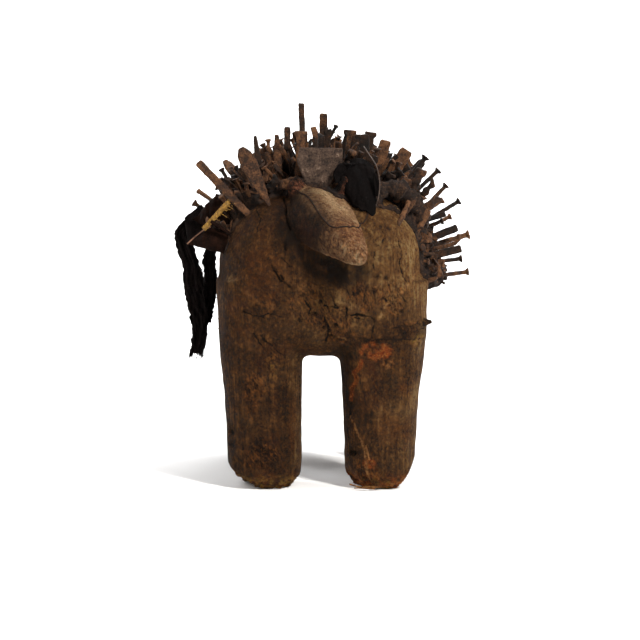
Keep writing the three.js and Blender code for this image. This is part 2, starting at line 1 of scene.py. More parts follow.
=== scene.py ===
# A standing pig power figure: old dry wood, its back and flanks driven full of rusted iron through a
# dark crust, with dried hide, plaited straw and black cloth hanging from it.
# Lengths are millimetres in the carving's own frame until a piece is made: there they become metres in
# the part's frame.
import json
import math
import bmesh
import bpy
import numpy as np
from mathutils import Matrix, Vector


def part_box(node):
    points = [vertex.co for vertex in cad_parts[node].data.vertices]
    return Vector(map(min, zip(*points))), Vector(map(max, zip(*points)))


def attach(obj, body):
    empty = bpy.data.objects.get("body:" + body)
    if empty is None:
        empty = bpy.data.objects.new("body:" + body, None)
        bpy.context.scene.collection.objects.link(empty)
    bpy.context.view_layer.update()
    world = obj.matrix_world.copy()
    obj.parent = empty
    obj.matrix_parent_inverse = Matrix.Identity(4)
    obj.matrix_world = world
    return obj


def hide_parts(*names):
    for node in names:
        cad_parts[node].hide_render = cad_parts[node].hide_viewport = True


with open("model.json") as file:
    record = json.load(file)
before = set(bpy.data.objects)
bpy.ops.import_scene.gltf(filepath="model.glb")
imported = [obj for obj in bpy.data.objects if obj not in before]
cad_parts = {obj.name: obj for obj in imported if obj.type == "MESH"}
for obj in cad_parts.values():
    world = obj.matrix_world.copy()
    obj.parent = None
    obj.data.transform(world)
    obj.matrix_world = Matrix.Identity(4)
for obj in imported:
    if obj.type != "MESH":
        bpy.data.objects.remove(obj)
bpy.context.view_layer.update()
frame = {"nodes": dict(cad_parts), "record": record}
MM = 0.001

# Driving dimensions of the wood, in millimetres in the carving's own frame: the middle of the barrel is
# over the origin, the soles are at z = 0, and the pig faces -Y.
BARREL = dict(x=113.5, y=172.0, top=106.0, belly=84.0, z=220.5, left=2.6, right=3.0, blunt=4)
LEG_TOP, FLARE_TOP, LEG_POWER = 223.0, 165.0, 2.5
FOOT_BELOW, FOOT_WORN = 2.0, 26.0
LEGS = [
    dict(x=-62.0, y=-110.0, wide=39.5, deep=42.0, flare=7.0, lean=-5.0),
    dict(x=61.5, y=-110.0, wide=37.5, deep=42.0, flare=11.0, lean=3.0),
    dict(x=-64.0, y=110.0, wide=35.0, deep=40.0, flare=11.0, lean=-2.0),
    dict(x=64.0, y=110.0, wide=35.0, deep=40.0, flare=11.0, lean=2.0),
]
HEAD_NECK, HEAD_TIP, HEAD_UP = (-6, -132, 300), (41.5, -227, 249.5), (0.3, -0.45, 0.85)
HEAD_WIDE, HEAD_HIGH, TIP_WIDE, TIP_HIGH, HEAD_TAPER = 29.0, 25.0, 4.0, 5.0, 1.9
HEAD_POWER, HEAD_ROUND, HEAD_BACK = 3, 9, 0.2  # its section, how its ends round, its share behind the neck
# Rods: both ends, with the radius there.
JAW = ((-13, -152, 285), (31, -215, 259), 24.0, 7.0)
EARS = [((-23, -136, 311), (-28, -143, 324), 10.0, 8.0), ((15, -140, 307), (23, -149, 330), 9.0, 3.8)]
TAIL = [((0, 158, 300), (7, 180, 270), 10.0, 7.5), ((7, 180, 270), (1, 183, 234), 7.5, 4.5)]
# Rot and wear: balls bitten out of the wood, each with its middle and its radius.
BITES = [((-109, -126, -24), 45.0), ((6, -136, -5), 34.0), ((118, -108, -16), 46.0), ((108, 140, 0), 20.0)]
SOFT_LEG, SOFT_JAW, SOFT_EAR, SOFT_TAIL, SOFT_BITE = 10.0, 16.0, 6.0, 6.0, 8.0


def blend_min(a, b, k):
    """The smaller of two fields, less a quarter of k where they are equal, so that two forms blend."""
    return np.minimum(a, b) - (np.maximum(k - np.abs(a - b), 0) / k) ** 2 * (k / 4)


def blend_max(a, b, k):
    """The larger of two fields, blended in the same way."""
    return -blend_min(-a, -b, k)


def oval(u, v, half_u, half_v, power):
    """Sum of both offsets as shares of their half-widths, each to the power: 1 on the outline."""
    return np.abs(u / half_u) ** power + np.abs(v / half_v) ** power


def along_ray(length, level, power):
    """Distance to an outline along the ray from its centre, from the level that the point has there."""
    return length * (1 - np.maximum(level, 1e-9) ** (-1 / power))


def barrel_ring(x, h):
    """The barrel's section: an oval of power 2.6 at the left and 3 at the right, higher than it is deep."""
    power = np.where(x > 0, BARREL["right"], BARREL["left"])
    high = np.where(h > 0, BARREL["top"], BARREL["belly"])
    return oval(x, h, BARREL["x"], high, power) ** (1 / power)


def barrel_field(p):
    """Ray distance to the barrel: its section and its length joined by a power of 4."""
    x, y, h = p[..., 0], p[..., 1], p[..., 2] - BARREL["z"]
    level = barrel_ring(x, h) ** BARREL["blunt"] + np.abs(y / BARREL["y"]) ** BARREL["blunt"]
    return along_ray(np.sqrt(x * x + y * y + h * h), level, BARREL["blunt"])


def leg_field(p, leg):
    """A leaning post of section power 2.5 that flares with the square of its height, rounded at the sole."""
    x, y, z = p[..., 0] - leg["x"], p[..., 1] - leg["y"], p[..., 2]
    x = x - leg["lean"] * np.clip(z / LEG_TOP, 0, 1)
    flare = leg["flare"] * np.clip(z / FLARE_TOP, 0, 1) ** 2
    size = oval(x, y, leg["wide"] + flare, leg["deep"] + flare, LEG_POWER)
    side = along_ray(np.hypot(x, y), size, LEG_POWER)
    return np.maximum(blend_max(side, -FOOT_BELOW - z, FOOT_WORN), z - LEG_TOP)


def rod_field(p, rod):
    """Distance to a segment, less a radius that runs evenly from one end to the other."""
    start, end, r0, r1 = rod
    along = np.subtract(end, start)
    d = p - start
    t = np.clip(d @ along / (along @ along), 0, 1)
    return np.linalg.norm(d - t[..., None] * along, axis=-1) - (r0 + (r1 - r0) * t)


def head_axes():
    """The head's length and its three directions: along it, upwards and to its side."""
    line = np.subtract(HEAD_TIP, HEAD_NECK)
    length = np.linalg.norm(line)
    axis = line / length
    up = HEAD_UP - axis * np.dot(HEAD_UP, axis)
    up = up / np.linalg.norm(up)
    return length, axis, up, np.cross(axis, up)


def wedge_field(p):
    """A section of power 3 that narrows from neck to tip with a power of the way, its ends rounded."""
    length, axis, up, side = head_axes()
    d = p - HEAD_NECK
    t = d @ axis / length
    full = 1 - np.clip(t, 0, 1) ** HEAD_TAPER
    u, v = d @ side, d @ up
    wide, high = TIP_WIDE + (HEAD_WIDE - TIP_WIDE) * full, TIP_HIGH + (HEAD_HIGH - TIP_HIGH) * full
    around = along_ray(np.hypot(u, v), oval(u, v, wide, high, HEAD_POWER), HEAD_POWER)
    ahead, behind = (t - 1) * length, (-t - HEAD_BACK) * length
    return blend_max(blend_max(around, ahead, HEAD_ROUND), behind, HEAD_ROUND)


def trunk_field(p):
    """The barrel with its legs and tail blended in and the worn places bitten out."""
    f = barrel_field(p)
    for leg in LEGS:
        f = blend_min(f, leg_field(p, leg), SOFT_LEG)
    for rod in TAIL:
        f = blend_min(f, rod_field(p, rod), SOFT_TAIL)
    for middle, radius in BITES:
        f = blend_max(f, radius - np.linalg.norm(p - middle, axis=-1), SOFT_BITE)
    return f


def head_field(p):
    """The wedge with its jaw and both ears."""
    f = blend_min(wedge_field(p), rod_field(p, JAW), SOFT_JAW)
    for ear in EARS:
        f = blend_min(f, rod_field(p, ear), SOFT_EAR)
    return f


def wood_field(p):
    """Trunk and head, parted by a crease where they meet."""
    return np.minimum(trunk_field(p), head_field(p))


# The carving's own frame in the part's frame, from the wood's least x and y in both.
WOOD_CORNER = (-113.59, -228.19)
SHIFT = np.append(np.array(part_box("pig_body")[0][:2]) / MM - WOOD_CORNER, 0.0)


def scrambled(cell, salt):
    """A whole number from 0 to 65535 for each cell of a lattice, as if by chance: its three counts, each
    times a large prime, mixed with the salt bit by bit, then shifted and mixed with itself twice."""
    h = salt
    for axis, prime in enumerate((73856093, 19349663, 83492791)):
        h = h ^ cell[..., axis] * prime
    h = (h ^ h >> 13) * 1274126177 & 0xFFFFFFFF
    return (h ^ h >> 16) & 0xFFFF


def lattice_noise(p, cell, seed):
    """Noise from -1 to 1: a value at each corner of a lattice, blended inside with a cubic ease."""
    q = np.asarray(p, float) / cell + 7.31 * seed
    base = np.floor(q).astype(np.int64)
    f = q - base
    f = f * f * (3 - 2 * f)
    total = np.zeros(q.shape[:-1])
    for corner in range(8):
        step = np.array([corner & 1, corner >> 1 & 1, corner >> 2 & 1])
        value = scrambled(base + step, (seed + 1) * 2654435761) / 32767.5 - 1
        total += value * np.prod(np.where(step, f, 1 - f), axis=-1)
    return total


def rough(p, cell, octaves, seed, gain=0.5):
    """Octaves of lattice noise, each of half the cell and of gain times the height of the one before."""
    total, height = 0.0, 1.0
    for octave in range(octaves):
        total = total + height * lattice_noise(p, cell / 2**octave, seed + octave)
        height *= gain
    return total


def crackle(p, cell, seed):
    """Distance to the nearest wall between random cells, as a share of the cell: 0 on a wall."""
    q = np.asarray(p, float) / cell
    base = np.floor(q).astype(np.int64)
    nearest = np.full(q.shape[:-1], 9.0)
    second = np.full(q.shape[:-1], 9.0)
    for number in range(27):
        c = base + np.array([number % 3 - 1, number // 3 % 3 - 1, number // 9 - 1])
        jitter = np.stack([scrambled(c, (seed * 3 + axis) * 97531) / 65535.0 for axis in range(3)], -1)
        d = np.linalg.norm(q - c - jitter, axis=-1)
        second = np.minimum(second, np.maximum(nearest, d))
        nearest = np.minimum(nearest, d)
    return second - nearest


def ease(value, low, high):
    """0 at low, 1 at high, held outside them, and a smooth step between; low may be above high."""
    t = np.clip((value - low) / (high - low), 0, 1)
    return t * t * (3 - 2 * t)


def blob(p, middle, reach):
    """1 at the middle, falling smoothly to 0 at the given reach along each axis."""
    d = np.linalg.norm((p - np.asarray(middle)) / np.asarray(reach), axis=-1)
    return 1 - ease(d, 0.35, 1.0)


def line_distance(u, v, line):
    """Least distance in a plane from the points (u, v) to a line of points."""
    best = np.full(u.shape, 1e9)
    for (u0, v0), (u1, v1) in zip(line[:-1], line[1:]):
        du, dv = u1 - u0, v1 - v0
        t = np.clip(((u - u0) * du + (v - v0) * dv) / (du * du + dv * dv), 0, 1)
        best = np.minimum(best, np.hypot(u - u0 - t * du, v - v0 - t * dv))
    return best


def stroke(p, line, core, edge):
    """A mask along a line in x and z: 1 within the core distance of it, easing to 0 at the edge distance."""
    return 1 - ease(line_distance(p[..., 0], p[..., 2], line), core, edge)


def slope(field, p, step=0.6):
    """The field's gradient by central differences."""
    steps = step * np.eye(3)
    return np.stack([(field(p + e) - field(p - e)) / (2 * step) for e in steps], -1)


def settle(field, p, rounds=3):
    """Newton steps that bring points onto the zero level of the field."""
    for _ in range(rounds):
        g = slope(field, p)
        p = p - g * (field(p) / np.maximum((g * g).sum(-1), 0.2))[..., None]
    return p


def skin(field, xs, ys, zs):
    """Surface nets: in each grid cell that the surface crosses one vertex, at the mean of the crossings on
    the cell's edges, and one quad round each crossed grid edge."""
    lines = [xs, ys, zs]
    value = field(np.stack(np.meshgrid(xs, ys, zs, indexing="ij"), -1))
    inside = value < 0
    cells = tuple(n - 1 for n in value.shape)
    total, count = np.zeros(cells + (3,)), np.zeros(cells)
    crossed = []
    for axis in range(3):
        low = [slice(None)] * 3
        high = [slice(None)] * 3
        low[axis], high[axis] = slice(None, -1), slice(1, None)
        a, b = value[tuple(low)], value[tuple(high)]
        cross = inside[tuple(low)] != inside[tuple(high)]
        crossed.append(cross)
        index = np.argwhere(cross)
        share = a[cross] / (a[cross] - b[cross])
        points = np.stack([line[index[:, k]] for k, line in enumerate(lines)], -1).astype(float)
        points[:, axis] += share * (lines[axis][index[:, axis] + 1] - points[:, axis])
        others = [k for k in range(3) if k != axis]
        for s in (0, 1):
            for t in (0, 1):
                cell = index.copy()
                cell[:, others[0]] -= s
                cell[:, others[1]] -= t
                ok = np.all((cell >= 0) & (cell < cells), axis=1)
                np.add.at(total, tuple(cell[ok].T), points[ok])
                np.add.at(count, tuple(cell[ok].T), 1)
    active = count > 0
    number = np.full(cells, -1)
    number[active] = np.arange(active.sum())
    vertices = total[active] / count[active][:, None]
    quads = []
    for axis in range(3):
        s_axis, t_axis = (axis + 1) % 3, (axis + 2) % 3
        index = np.argwhere(crossed[axis])
        keep = (index[:, s_axis] > 0) & (index[:, t_axis] > 0)
        keep &= (index[:, s_axis] < cells[s_axis]) & (index[:, t_axis] < cells[t_axis])
        index = index[keep]
        ring = []
        for s, t in ((0, 0), (1, 0), (1, 1), (0, 1)):
            cell = index.copy()
            cell[:, s_axis] -= s
            cell[:, t_axis] -= t
            ring.append(number[tuple(cell.T)])
        quad = np.stack(ring, -1)
        outward = inside[tuple(index.T)]
        quads.append(np.where(outward[:, None], quad, quad[:, ::-1]))
    return vertices, np.concatenate(quads)


def put(name, points, faces, slot, finish, smooth=True):
    """A piece from points in the carving's frame and rows of faces, riding on the one body."""
    mesh = bpy.data.meshes.new(name)
    mesh.from_pydata(((np.asarray(points) + SHIFT) * MM).tolist(), [], [list(face) for face in faces])
    return dress(bpy.data.objects.new(name, mesh), finish, smooth)


def dress(piece, finish, smooth=True):
    """Links a new piece, gives it its finish and says what it belongs to."""
    bpy.context.collection.objects.link(piece)
    piece.data.materials.clear()
    piece.data.materials.append(finish)
    piece.data.shade_smooth() if smooth else piece.data.shade_flat()
    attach(piece, "root")
    return piece


def points_of(mesh):
    """The vertices of a mesh as an array."""
    flat = np.empty(len(mesh.vertices) * 3)
    mesh.vertices.foreach_get("co", flat)
    return flat.reshape(-1, 3)


def normals_of(mesh):
    """The vertex normals of a mesh as an array."""
    flat = np.empty(len(mesh.vertices) * 3)
    mesh.vertex_normals.foreach_get("vector", flat)
    return flat.reshape(-1, 3)


def set_points(mesh, points):
    """Moves the vertices of a mesh."""
    mesh.vertices.foreach_set("co", np.asarray(points, float).ravel())
    mesh.update()


def paint(mesh, name, values):
    """Keeps one number for each vertex, for the finish to read."""
    layer = mesh.attributes.new(name, "FLOAT", "POINT")
    layer.data.foreach_set("value", np.clip(values, 0, 1).astype(np.float32))


def refine(mesh, wanted):
    """Halves every edge of the faces whose middle, in the carving's frame, is wanted."""
    build = bmesh.new()
    build.from_mesh(mesh)
    middles = np.array([face.calc_center_median() for face in build.faces]) / MM - SHIFT
    edges = {edge for face, hit in zip(build.faces, wanted(middles)) if hit for edge in face.edges}
    bmesh.ops.subdivide_edges(build, edges=list(edges), cuts=1, use_grid_fill=True)
    build.to_mesh(mesh)
    build.free()


def srgb(red, green, blue):
    """A display colour from 0 to 255 as the linear colour that a shader takes."""
    share = np.array([red, green, blue]) / 255
    return tuple(np.where(share < 0.04045, share / 12.92, ((share + 0.055) / 1.055) ** 2.4)) + (1.0,)


class Finish:
    """A material under construction. Each method adds a node and gives back the socket it ends in."""

    def __init__(self, name, roughness=0.8, specular=0.3, metallic=0.0):
        """A plain shader of the given roughness, sheen and metal, and the object's own coordinates."""
        self.material = bpy.data.materials.new(name)
        self.material.use_nodes = True
        self.tree = self.material.node_tree
        self.shader = self.tree.nodes["Principled BSDF"]
        self.shader.inputs["Roughness"].default_value = roughness
        self.shader.inputs["Specular IOR Level"].default_value = specular
        self.shader.inputs["Metallic"].default_value = metallic
        self.place = self.tree.nodes.new("ShaderNodeTexCoord").outputs["Object"]
        self.normal = None

    def node(self, kind, inputs, **settings):
        """A node with its settings, and its inputs either linked or set."""
        made = self.tree.nodes.new(kind)
        for key, value in settings.items():
            setattr(made, key, value)
        for key, value in inputs.items():
            if isinstance(value, bpy.types.NodeSocket):
                self.tree.links.new(value, made.inputs[key])
            elif value is not None:
                made.inputs[key].default_value = value
        return made

    def stretched(self, x, y, z, turn=(0, 0, 0), kind="POINT"):
        """The object's coordinates, scaled along each axis and turned, or turned first as a texture."""
        inputs = {"Vector": self.place, "Scale": (x, y, z), "Rotation": turn}
        return self.node("ShaderNodeMapping", inputs, vector_type=kind).outputs[0]

    def noise(self, scale, detail, roughness=0.6, vector=None, twist=0.0):
        """Cloudy noise around a half, with so many features to the metre."""
        inputs = {"Vector": vector or self.place, "Scale": scale, "Detail": detail, "Roughness": roughness}
        return self.node("ShaderNodeTexNoise", {**inputs, "Distortion": twist}).outputs["Fac"]

    def between(self, value, low, high, start=0.0, end=1.0):
        """The value's range from low to high, spread over start to end and held outside it."""
        inputs = {"Value": value, "From Min": low, "From Max": high, "To Min": start, "To Max": end}
        return self.node("ShaderNodeMapRange", inputs).outputs[0]

    def times(self, a, b):
        """The product of two numbers."""
        return self.node("ShaderNodeMath", {0: a, 1: b}, operation="MULTIPLY").outputs[0]

    def plus(self, a, b):
        """The sum of two numbers."""
        return self.node("ShaderNodeMath", {0: a, 1: b}, operation="ADD").outputs[0]

    def blend(self, a, b, share):
        """Two noises added, the second with its share and the first with the rest."""
        return self.plus(self.times(a, 1 - share), self.times(b, share))

    def ramp(self, value, *stops):
        """A colour for the value, from stops of place and display colour."""
        made = self.node("ShaderNodeValToRGB", {"Fac": value})
        elements = made.color_ramp.elements
        while len(elements) < len(stops):
            elements.new(0.5)
        for element, (place, colour) in zip(elements, stops):
            element.position = place
            element.color = srgb(*colour)
        return made.outputs["Color"]

    def mix(self, share, a, b, blend="MIX"):
        """The first colour with a share of the second on it."""
        made = self.node("ShaderNodeMix", {}, data_type="RGBA", blend_type=blend)
        for index, value in ((0, share), (6, a), (7, b)):
            if isinstance(value, bpy.types.NodeSocket):
                self.tree.links.new(value, made.inputs[index])
            elif index == 0:
                made.inputs[index].default_value = value
            else:
                made.inputs[index].default_value = srgb(*value)
        return made.outputs[2]

    def painted(self, name):
        """A number kept on the vertices."""
        return self.node("ShaderNodeAttribute", {}, attribute_name=name).outputs["Fac"]

    def bump(self, height, depth):
        """Adds relief of the given depth in metres to the normal."""
        inputs = {"Height": height, "Distance": depth, "Strength": 1.0, "Normal": self.normal}
        self.normal = self.node("ShaderNodeBump", inputs).outputs[0]

    def done(self, colour, roughness=None):
        """Joins colour, roughness and relief to the shader and gives back the material."""
        self.tree.links.new(colour, self.shader.inputs["Base Color"])
        if roughness is not None:
            self.tree.links.new(roughness, self.shader.inputs["Roughness"])
        if self.normal is not None:
            self.tree.links.new(self.normal, self.shader.inputs["Normal"])
        return self.material


# The wood's colours, from 0 to 255, some of them at places on a ramp of noise.
BROWNS = (0.4, (22, 13, 8)), (0.463, (63, 39, 24)), (0.53, (105, 71, 45)), (0.597, (176, 127, 85))
RUBBED_AND_LIT = (0.41, (96, 64, 44)), (0.5, (194, 146, 104)), (0.59, (255, 220, 170))
EAR_REDS = (0.43, (34, 18, 13)), (0.57, (176, 108, 80))
OCHRES = (0.4, (104, 76, 36)), (0.58, (226, 186, 108))
ROT_REDS = (0.38, (88, 38, 19)), (0.5, (222, 110, 56)), (0.6, (255, 184, 116))
PATCHES = (3, (112, 60, 38), 0.5), (7, (92, 66, 42), 0.4), (11, (84, 72, 62), 0.4)  # seed, colour, share
# Warm brown; near-black for the cracks and for painted shade and shadow; a darkening of the trunk that spares
# the head, painted light on it; pale threads.
WARM_BROWN, SHADE_AND_CRACK_DARK, PATINA_SPARING_LIT_HEAD, THREADS = (160, 98, 56), (20, 12, 9), (206, 196, 167), (255, 190, 138)
# Specks: the ends of the noise that they take up, their share and their colour.
GRIT_SPECKS = (0.47, 0.39, 0.7, (24, 14, 9)), (0.54, 0.64, 0.6, (186, 140, 102))
FLECKS = (0.55, 0.72, 0.6, (160, 126, 90)), (0.47, 0.32, 0.85, (20, 12, 8))
# Pits and crumbs where fibres stand, and on the snout: their dark and their light colour.
CRUMB_COLOURS = ("broken", (50, 26, 14), (222, 146, 84)), ("snout", (98, 57, 34), (250, 178, 114))


def wood_finish():
    """Old brown wood: streaks up the legs, mottling and grit in several browns, pale places both rubbed and
    of painted light, orange rot and threads, ochre crumbs, dark ears, and dark cracks and painted shade where
    the vertices say so; the trunk is darkened and the head spared it, which is painted light."""
    make = Finish("carved_wood", specular=0.15)
    streaks = make.noise(420, 8, 0.72, make.stretched(1, 1, 0.07))
    clouds = make.noise(26, 8, 0.68, twist=0.5)
    mottle = make.noise(165, 8, 0.8)
    grit = make.noise(330, 6, 0.8)
    fleck = make.noise(560, 6, 0.82)
    crumbs = make.noise(420, 7, 0.78, make.stretched(1, 1, 2.4, (0, -0.5, 0), "TEXTURE"))
    tone = make.blend(make.blend(streaks, clouds, 0.52), mottle, 0.26)
    tone = make.plus(tone, make.between(make.painted("rise"), 0, 1, -0.07, 0.07))
    colour = make.ramp(tone, *BROWNS)
    for seed, hue, share in PATCHES:
        place = make.stretched(1, 1, 0.7, (seed, seed * 2, seed * 3))
        patch = make.between(make.noise(30, 6, 0.66, place), 0.52, 0.66, 0, share)
        colour = make.mix(patch, colour, hue)
    # pale places: rubbed wear, and painted light on the faces turned to the lamp
    colour = make.mix(make.times(make.painted("pale"), 0.85), colour, make.ramp(tone, *RUBBED_AND_LIT))
    colour = make.mix(make.painted("ear"), colour, make.ramp(grit, *EAR_REDS))
    warm = make.times(make.painted("warm"), make.between(mottle, 0.38, 0.6, 0.15, 0.8))
    colour = make.mix(warm, colour, WARM_BROWN)
    for noise, specks in ((grit, GRIT_SPECKS), (fleck, FLECKS)):
        for low, high, share, hue in specks:
            colour = make.mix(make.between(noise, low, high, 0, share), colour, hue)
    for name, low, high in CRUMB_COLOURS:
        pit = make.times(make.painted(name), make.between(crumbs, 0.49, 0.4, 0, 0.9))
        crumb = make.times(make.painted(name), make.between(crumbs, 0.53, 0.62, 0, 0.85))
        colour = make.mix(crumb, make.mix(pit, colour, low), high)
    ochre = make.times(make.painted("ochre"), make.between(mottle, 0.42, 0.56))
    colour = make.mix(ochre, colour, make.ramp(fleck, *OCHRES))
    rot = make.times(make.painted("rot"), make.between(mottle, 0.34, 0.56))
    colour = make.mix(rot, colour, make.ramp(fleck, *ROT_REDS))
    thread = make.times(make.painted("thread"), make.between(grit, 0.42, 0.54, 0.1, 0.95))
    colour = make.mix(thread, colour, THREADS)
    # near-black in cracks and pits, and painted shade and shadow from the masks
    colour = make.mix(make.painted("dark"), colour, SHADE_AND_CRACK_DARK)
    # the trunk darkened as patina; the head is spared it so that it reads lit, which is painted light
    colour = make.mix(make.between(make.painted("head"), 0, 1, 1, 0.1), colour, PATINA_SPARING_LIT_HEAD, "MULTIPLY")
    broken, snout = make.painted("broken"), make.painted("snout")
    for relief, depth in (
        (streaks, 0.0018), (mottle, 0.005), (grit, 0.004), (fleck, 0.0016),
        (make.times(crumbs, broken), 0.009), (make.times(fleck, snout), 0.004),
    ):
        make.bump(relief, depth)
    return make.done(colour, make.between(mottle, 0.35, 0.65, 0.66, 0.88))


# Cracks in the wood as seen from the front: the line in x and z, its width and its depth. Some are also
# used by name: the rotten one in the right leg, the one that runs on from it to the foot, its branch, and
# the one at the cheek, which alone is cut into the head too.
LEG_CRACK = [(41, 139), (39, 132), (33, 126), (36, 121), (35, 116), (30, 109), (31, 103), (30, 97)]
FOOT_CRACK = [(30, 97), (30, 77), (34, 72), (37, 62), (41, 55), (45, 46), (46, 40), (46, 33), (47, 22),
              (50, 10)]
FOOT_BRANCH = [(46, 48), (50, 34)]
CHEEK_CRACK = [(-41, 312), (-38, 292), (-34, 280)]
CRACKS = [
    (LEG_CRACK, 2.4, 2.4),
    (FOOT_CRACK, 1.6, 2.0),
    (FOOT_BRANCH, 1.3, 1.4),
    ([(31, 190), (43, 189.5), (51, 187), (53, 184)], 1.9, 3.0),
    ([(33, 187), (43, 185.5)], 1.2, 1.6),
    ([(54, 183), (53, 166)], 2.0, 3.2),
    ([(25, 197), (25.5, 177)], 2.0, 2.6),
    ([(81, 267), (84, 255), (81.5, 248), (82, 237), (88, 225)], 1.2, 1.6),
    ([(81, 211), (87, 204)], 2.4, 2.6),
    ([(69.5, 220), (72, 214)], 1.8, 2.2),
    ([(26, 217), (29, 208)], 1.6, 2.2),
    ([(30, 217), (33, 209)], 1.3, 1.8),
    ([(54, 244), (55, 238)], 1.8, 1.6),
    ([(54, 256), (54.5, 250)], 1.4, 1.4),
    ([(-54, 243), (-50, 236), (-46, 231), (-44, 226), (-39, 224), (-36, 220), (-33, 217)], 2.2, 3.4),
    ([(-44, 233), (-41, 227)], 1.5, 2.0),
    ([(-43, 250), (-38, 245), (-35, 241.6), (-30, 241)], 1.3, 1.4),
    ([(-41, 267), (-38.5, 258)], 2.3, 3.2),
    ([(-84, 193.5), (-82, 192), (-72, 188), (-63, 188), (-57, 191), (-51, 190.5), (-40, 187)], 1.2, 1.2),
    ([(2, 186), (6, 175), (4, 160)], 2.2, 3.0),
    ([(-18, 206), (-13, 197), (-15, 189)], 1.5, 2.0),
    ([(8, 214), (12, 205), (13, 197)], 1.6, 2.0),
    ([(2, 200), (10, 197), (17, 198)], 1.5, 1.8),
    ([(58, 204), (64, 207), (68, 203)], 1.5, 1.6),
    ([(-73, 169), (-67, 160), (-61, 152)], 1.8, 1.6),
    ([(-63, 164), (-50, 152), (-39, 143)], 2.0, 1.9),
    ([(-66, 168), (-58, 160)], 1.2, 1.0),
    (CHEEK_CRACK, 2.6, 5.0),
    ([(-70, 300), (-66, 288), (-69, 276)], 1.2, 1.0),
    ([(60, 284), (64, 274), (62, 266)], 1.4, 1.2),
    ([(74, 176), (86, 178), (98, 177), (110, 181)], 1.4, 1.2),
    ([(80, 171), (96, 170), (108, 173)], 1.2, 1.0),
]
# The ledge where the belly's edge stands proud of the right leg: its line in x and z, and how far.
LEDGE, LEDGE_STEP = [(36, 165), (52, 163), (70, 164), (86, 163), (104, 163)], 2.4
# Pits: the place, the reach, and the depth.
PITS = [
    ((8, 166), 5.0, 5.0), ((1, 176), 3.5, 3.0), ((14, 178), 4.0, 2.5), ((57, 231), 3.4, 2.2),
    ((67, 228), 3.0, 2.0), ((54, 213), 3.4, 2.2), ((84, 193), 3.4, 2.0), ((-22, 210), 3.0, 1.8),
    ((-8, 190), 3.4, 2.4), ((70, 199), 3.0, 1.8), ((63, 196), 2.6, 1.5), ((38, 214), 3.0, 1.8),
    ((-83, 193), 2.6, 2.0), ((32, 39), 4.5, 4.0), ((-98, 60), 4.5, 3.4), ((-98, 47), 4.0, 2.8),
    ((-70, 199), 2.6, 1.6), ((-24, 184), 3.0, 1.8), ((20, 185), 3.2, 2.0), ((-2, 204), 3.2, 2.0),
]
# Places on the front that are broken up: middle, reach in x and z, depth, and how the fibres lie, as an
# angle in degrees from level.
CRUMBLED = [
    ((-12, 200), (32, 30), 1.5, -62),
    ((14, 182), (26, 26), 2.4, -70),
    ((44, 208), (24, 20), 2.0, 80),
    ((72, 206), (20, 24), 2.2, 58),
    ((59, 149), (20, 14), 2.2, 70),
    ((70, 137), (10, 8), 1.6, 60),
    ((-73, 106), (15, 30), 2.4, -55),
    ((-66, 38), (25, 21), 2.2, -40),
    ((-52, 137), (12, 17), 1.6, -50),
    ((-56, 204), (14, 16), 1.0, -50),
    ((47, 20), (15, 18), 1.8, 80),
    ((101, 160), (11, 9), 1.8, 75),
    ((96, 176), (22, 9), 1.2, 8),
    ((20, 166), (24, 12), 1.6, -20),
]
# Scratches that cross the chest's left side: their upper ends in x and z, and their lengths.
SCRATCHES = [((-100, 262), 26), ((-92, 250), 34), ((-84, 262), 22), ((-78, 240), 30), ((-70, 256), 24),
             ((-98, 226), 24), ((-86, 214), 28), ((-66, 226), 26), ((-58, 250), 18), ((-92, 190), 20)]
SCRATCH_WAY, SCRATCH_DEPTH = (0.62, -0.8), 0.55
WAVES, FACETS = 0.9, 0.5  # height of the wood's broad waves and of its tool facets
# Painted shadow of the head on the chest, in its lee: the line that it follows on the chest, in x and z.
UNDER_HEAD = [(-40, 300), (-38, 277), (-29, 258), (-13, 246), (5, 237), (26, 232), (38, 234)]
FINE = 2.4  # spacing of the wood's grid across and up, and along its front
COARSE = 5.0  # along its flanks and rump
# The grid's ends: across, from the snout to where it turns coarse and on past the tail, and up.
GRID_X, GRID_Y, GRID_Z = (-124, 126), (-240, -100, 198), (-8, 342)
# How far back, in y, what is seen from the front reaches: cracks and finer faces, oval masks, the rest.
CRACKED_FROM, MASKED_FROM, FACING_FROM = -95, -60, -40


def front_blob(p, middle, reach):
    """An oval mask in x and z on the front part of the wood."""
    flat = p[..., ::2]
    return blob(flat, middle, reach) * (p[..., 1] < MASKED_FROM)


def spots(p, table):
    """The sum of several oval masks, each with its share, its middle and its reach."""
    return sum(share * front_blob(p, middle, reach) for share, middle, reach in table)


def head_share(p):
    """1 on the head and 0 on the trunk, easing over 2 mm at the crease."""
    return ease(trunk_field(p) - head_field(p), -1, 1)


def ear_share(p):
    """1 on the ears, easing to 0 where they grow out of the head."""
    return ease(np.minimum(rod_field(p, EARS[0]), rod_field(p, EARS[1])), 2.6, 0.4)


def head_way(p):
    """How far along the head a point lies, from 0 at the neck to 1 at the tip of the snout."""
    length, axis, _, _ = head_axes()
    return (p - HEAD_NECK) @ axis / length


def near_detail(p):
    """The places that need finer faces: head, cracks, pits and broken places, and the worn feet."""
    wanted = (head_field(p) < 2.5) & ((head_way(p) > 0.48) | (ear_share(p) > 0.05))
    x, z = p[..., 0], p[..., 2]
    front = p[..., 1] < CRACKED_FROM
    for line, _, _ in CRACKS:
        wanted |= front & (line_distance(x, z, line) < 3.2)
    wanted |= front & (line_distance(x, z, LEDGE) < 3)
    for (px, pz), reach, _ in PITS:
        wanted |= front & (np.hypot(x - px, z - pz) < reach + 1)
    for middle, reach, _, _ in CRUMBLED:
        wanted |= front & (front_blob(p, middle, reach) > 0.55)
    return wanted | (front & (z < 12))


def crack_near(p):
    """The middle of the cracks alone."""
    wanted = np.zeros(p.shape[:-1], bool)
    for line, width, _ in CRACKS:
        wanted |= (p[..., 1] < CRACKED_FROM) & (line_distance(p[..., 0], p[..., 2], line) < 0.75 * width)
    return wanted


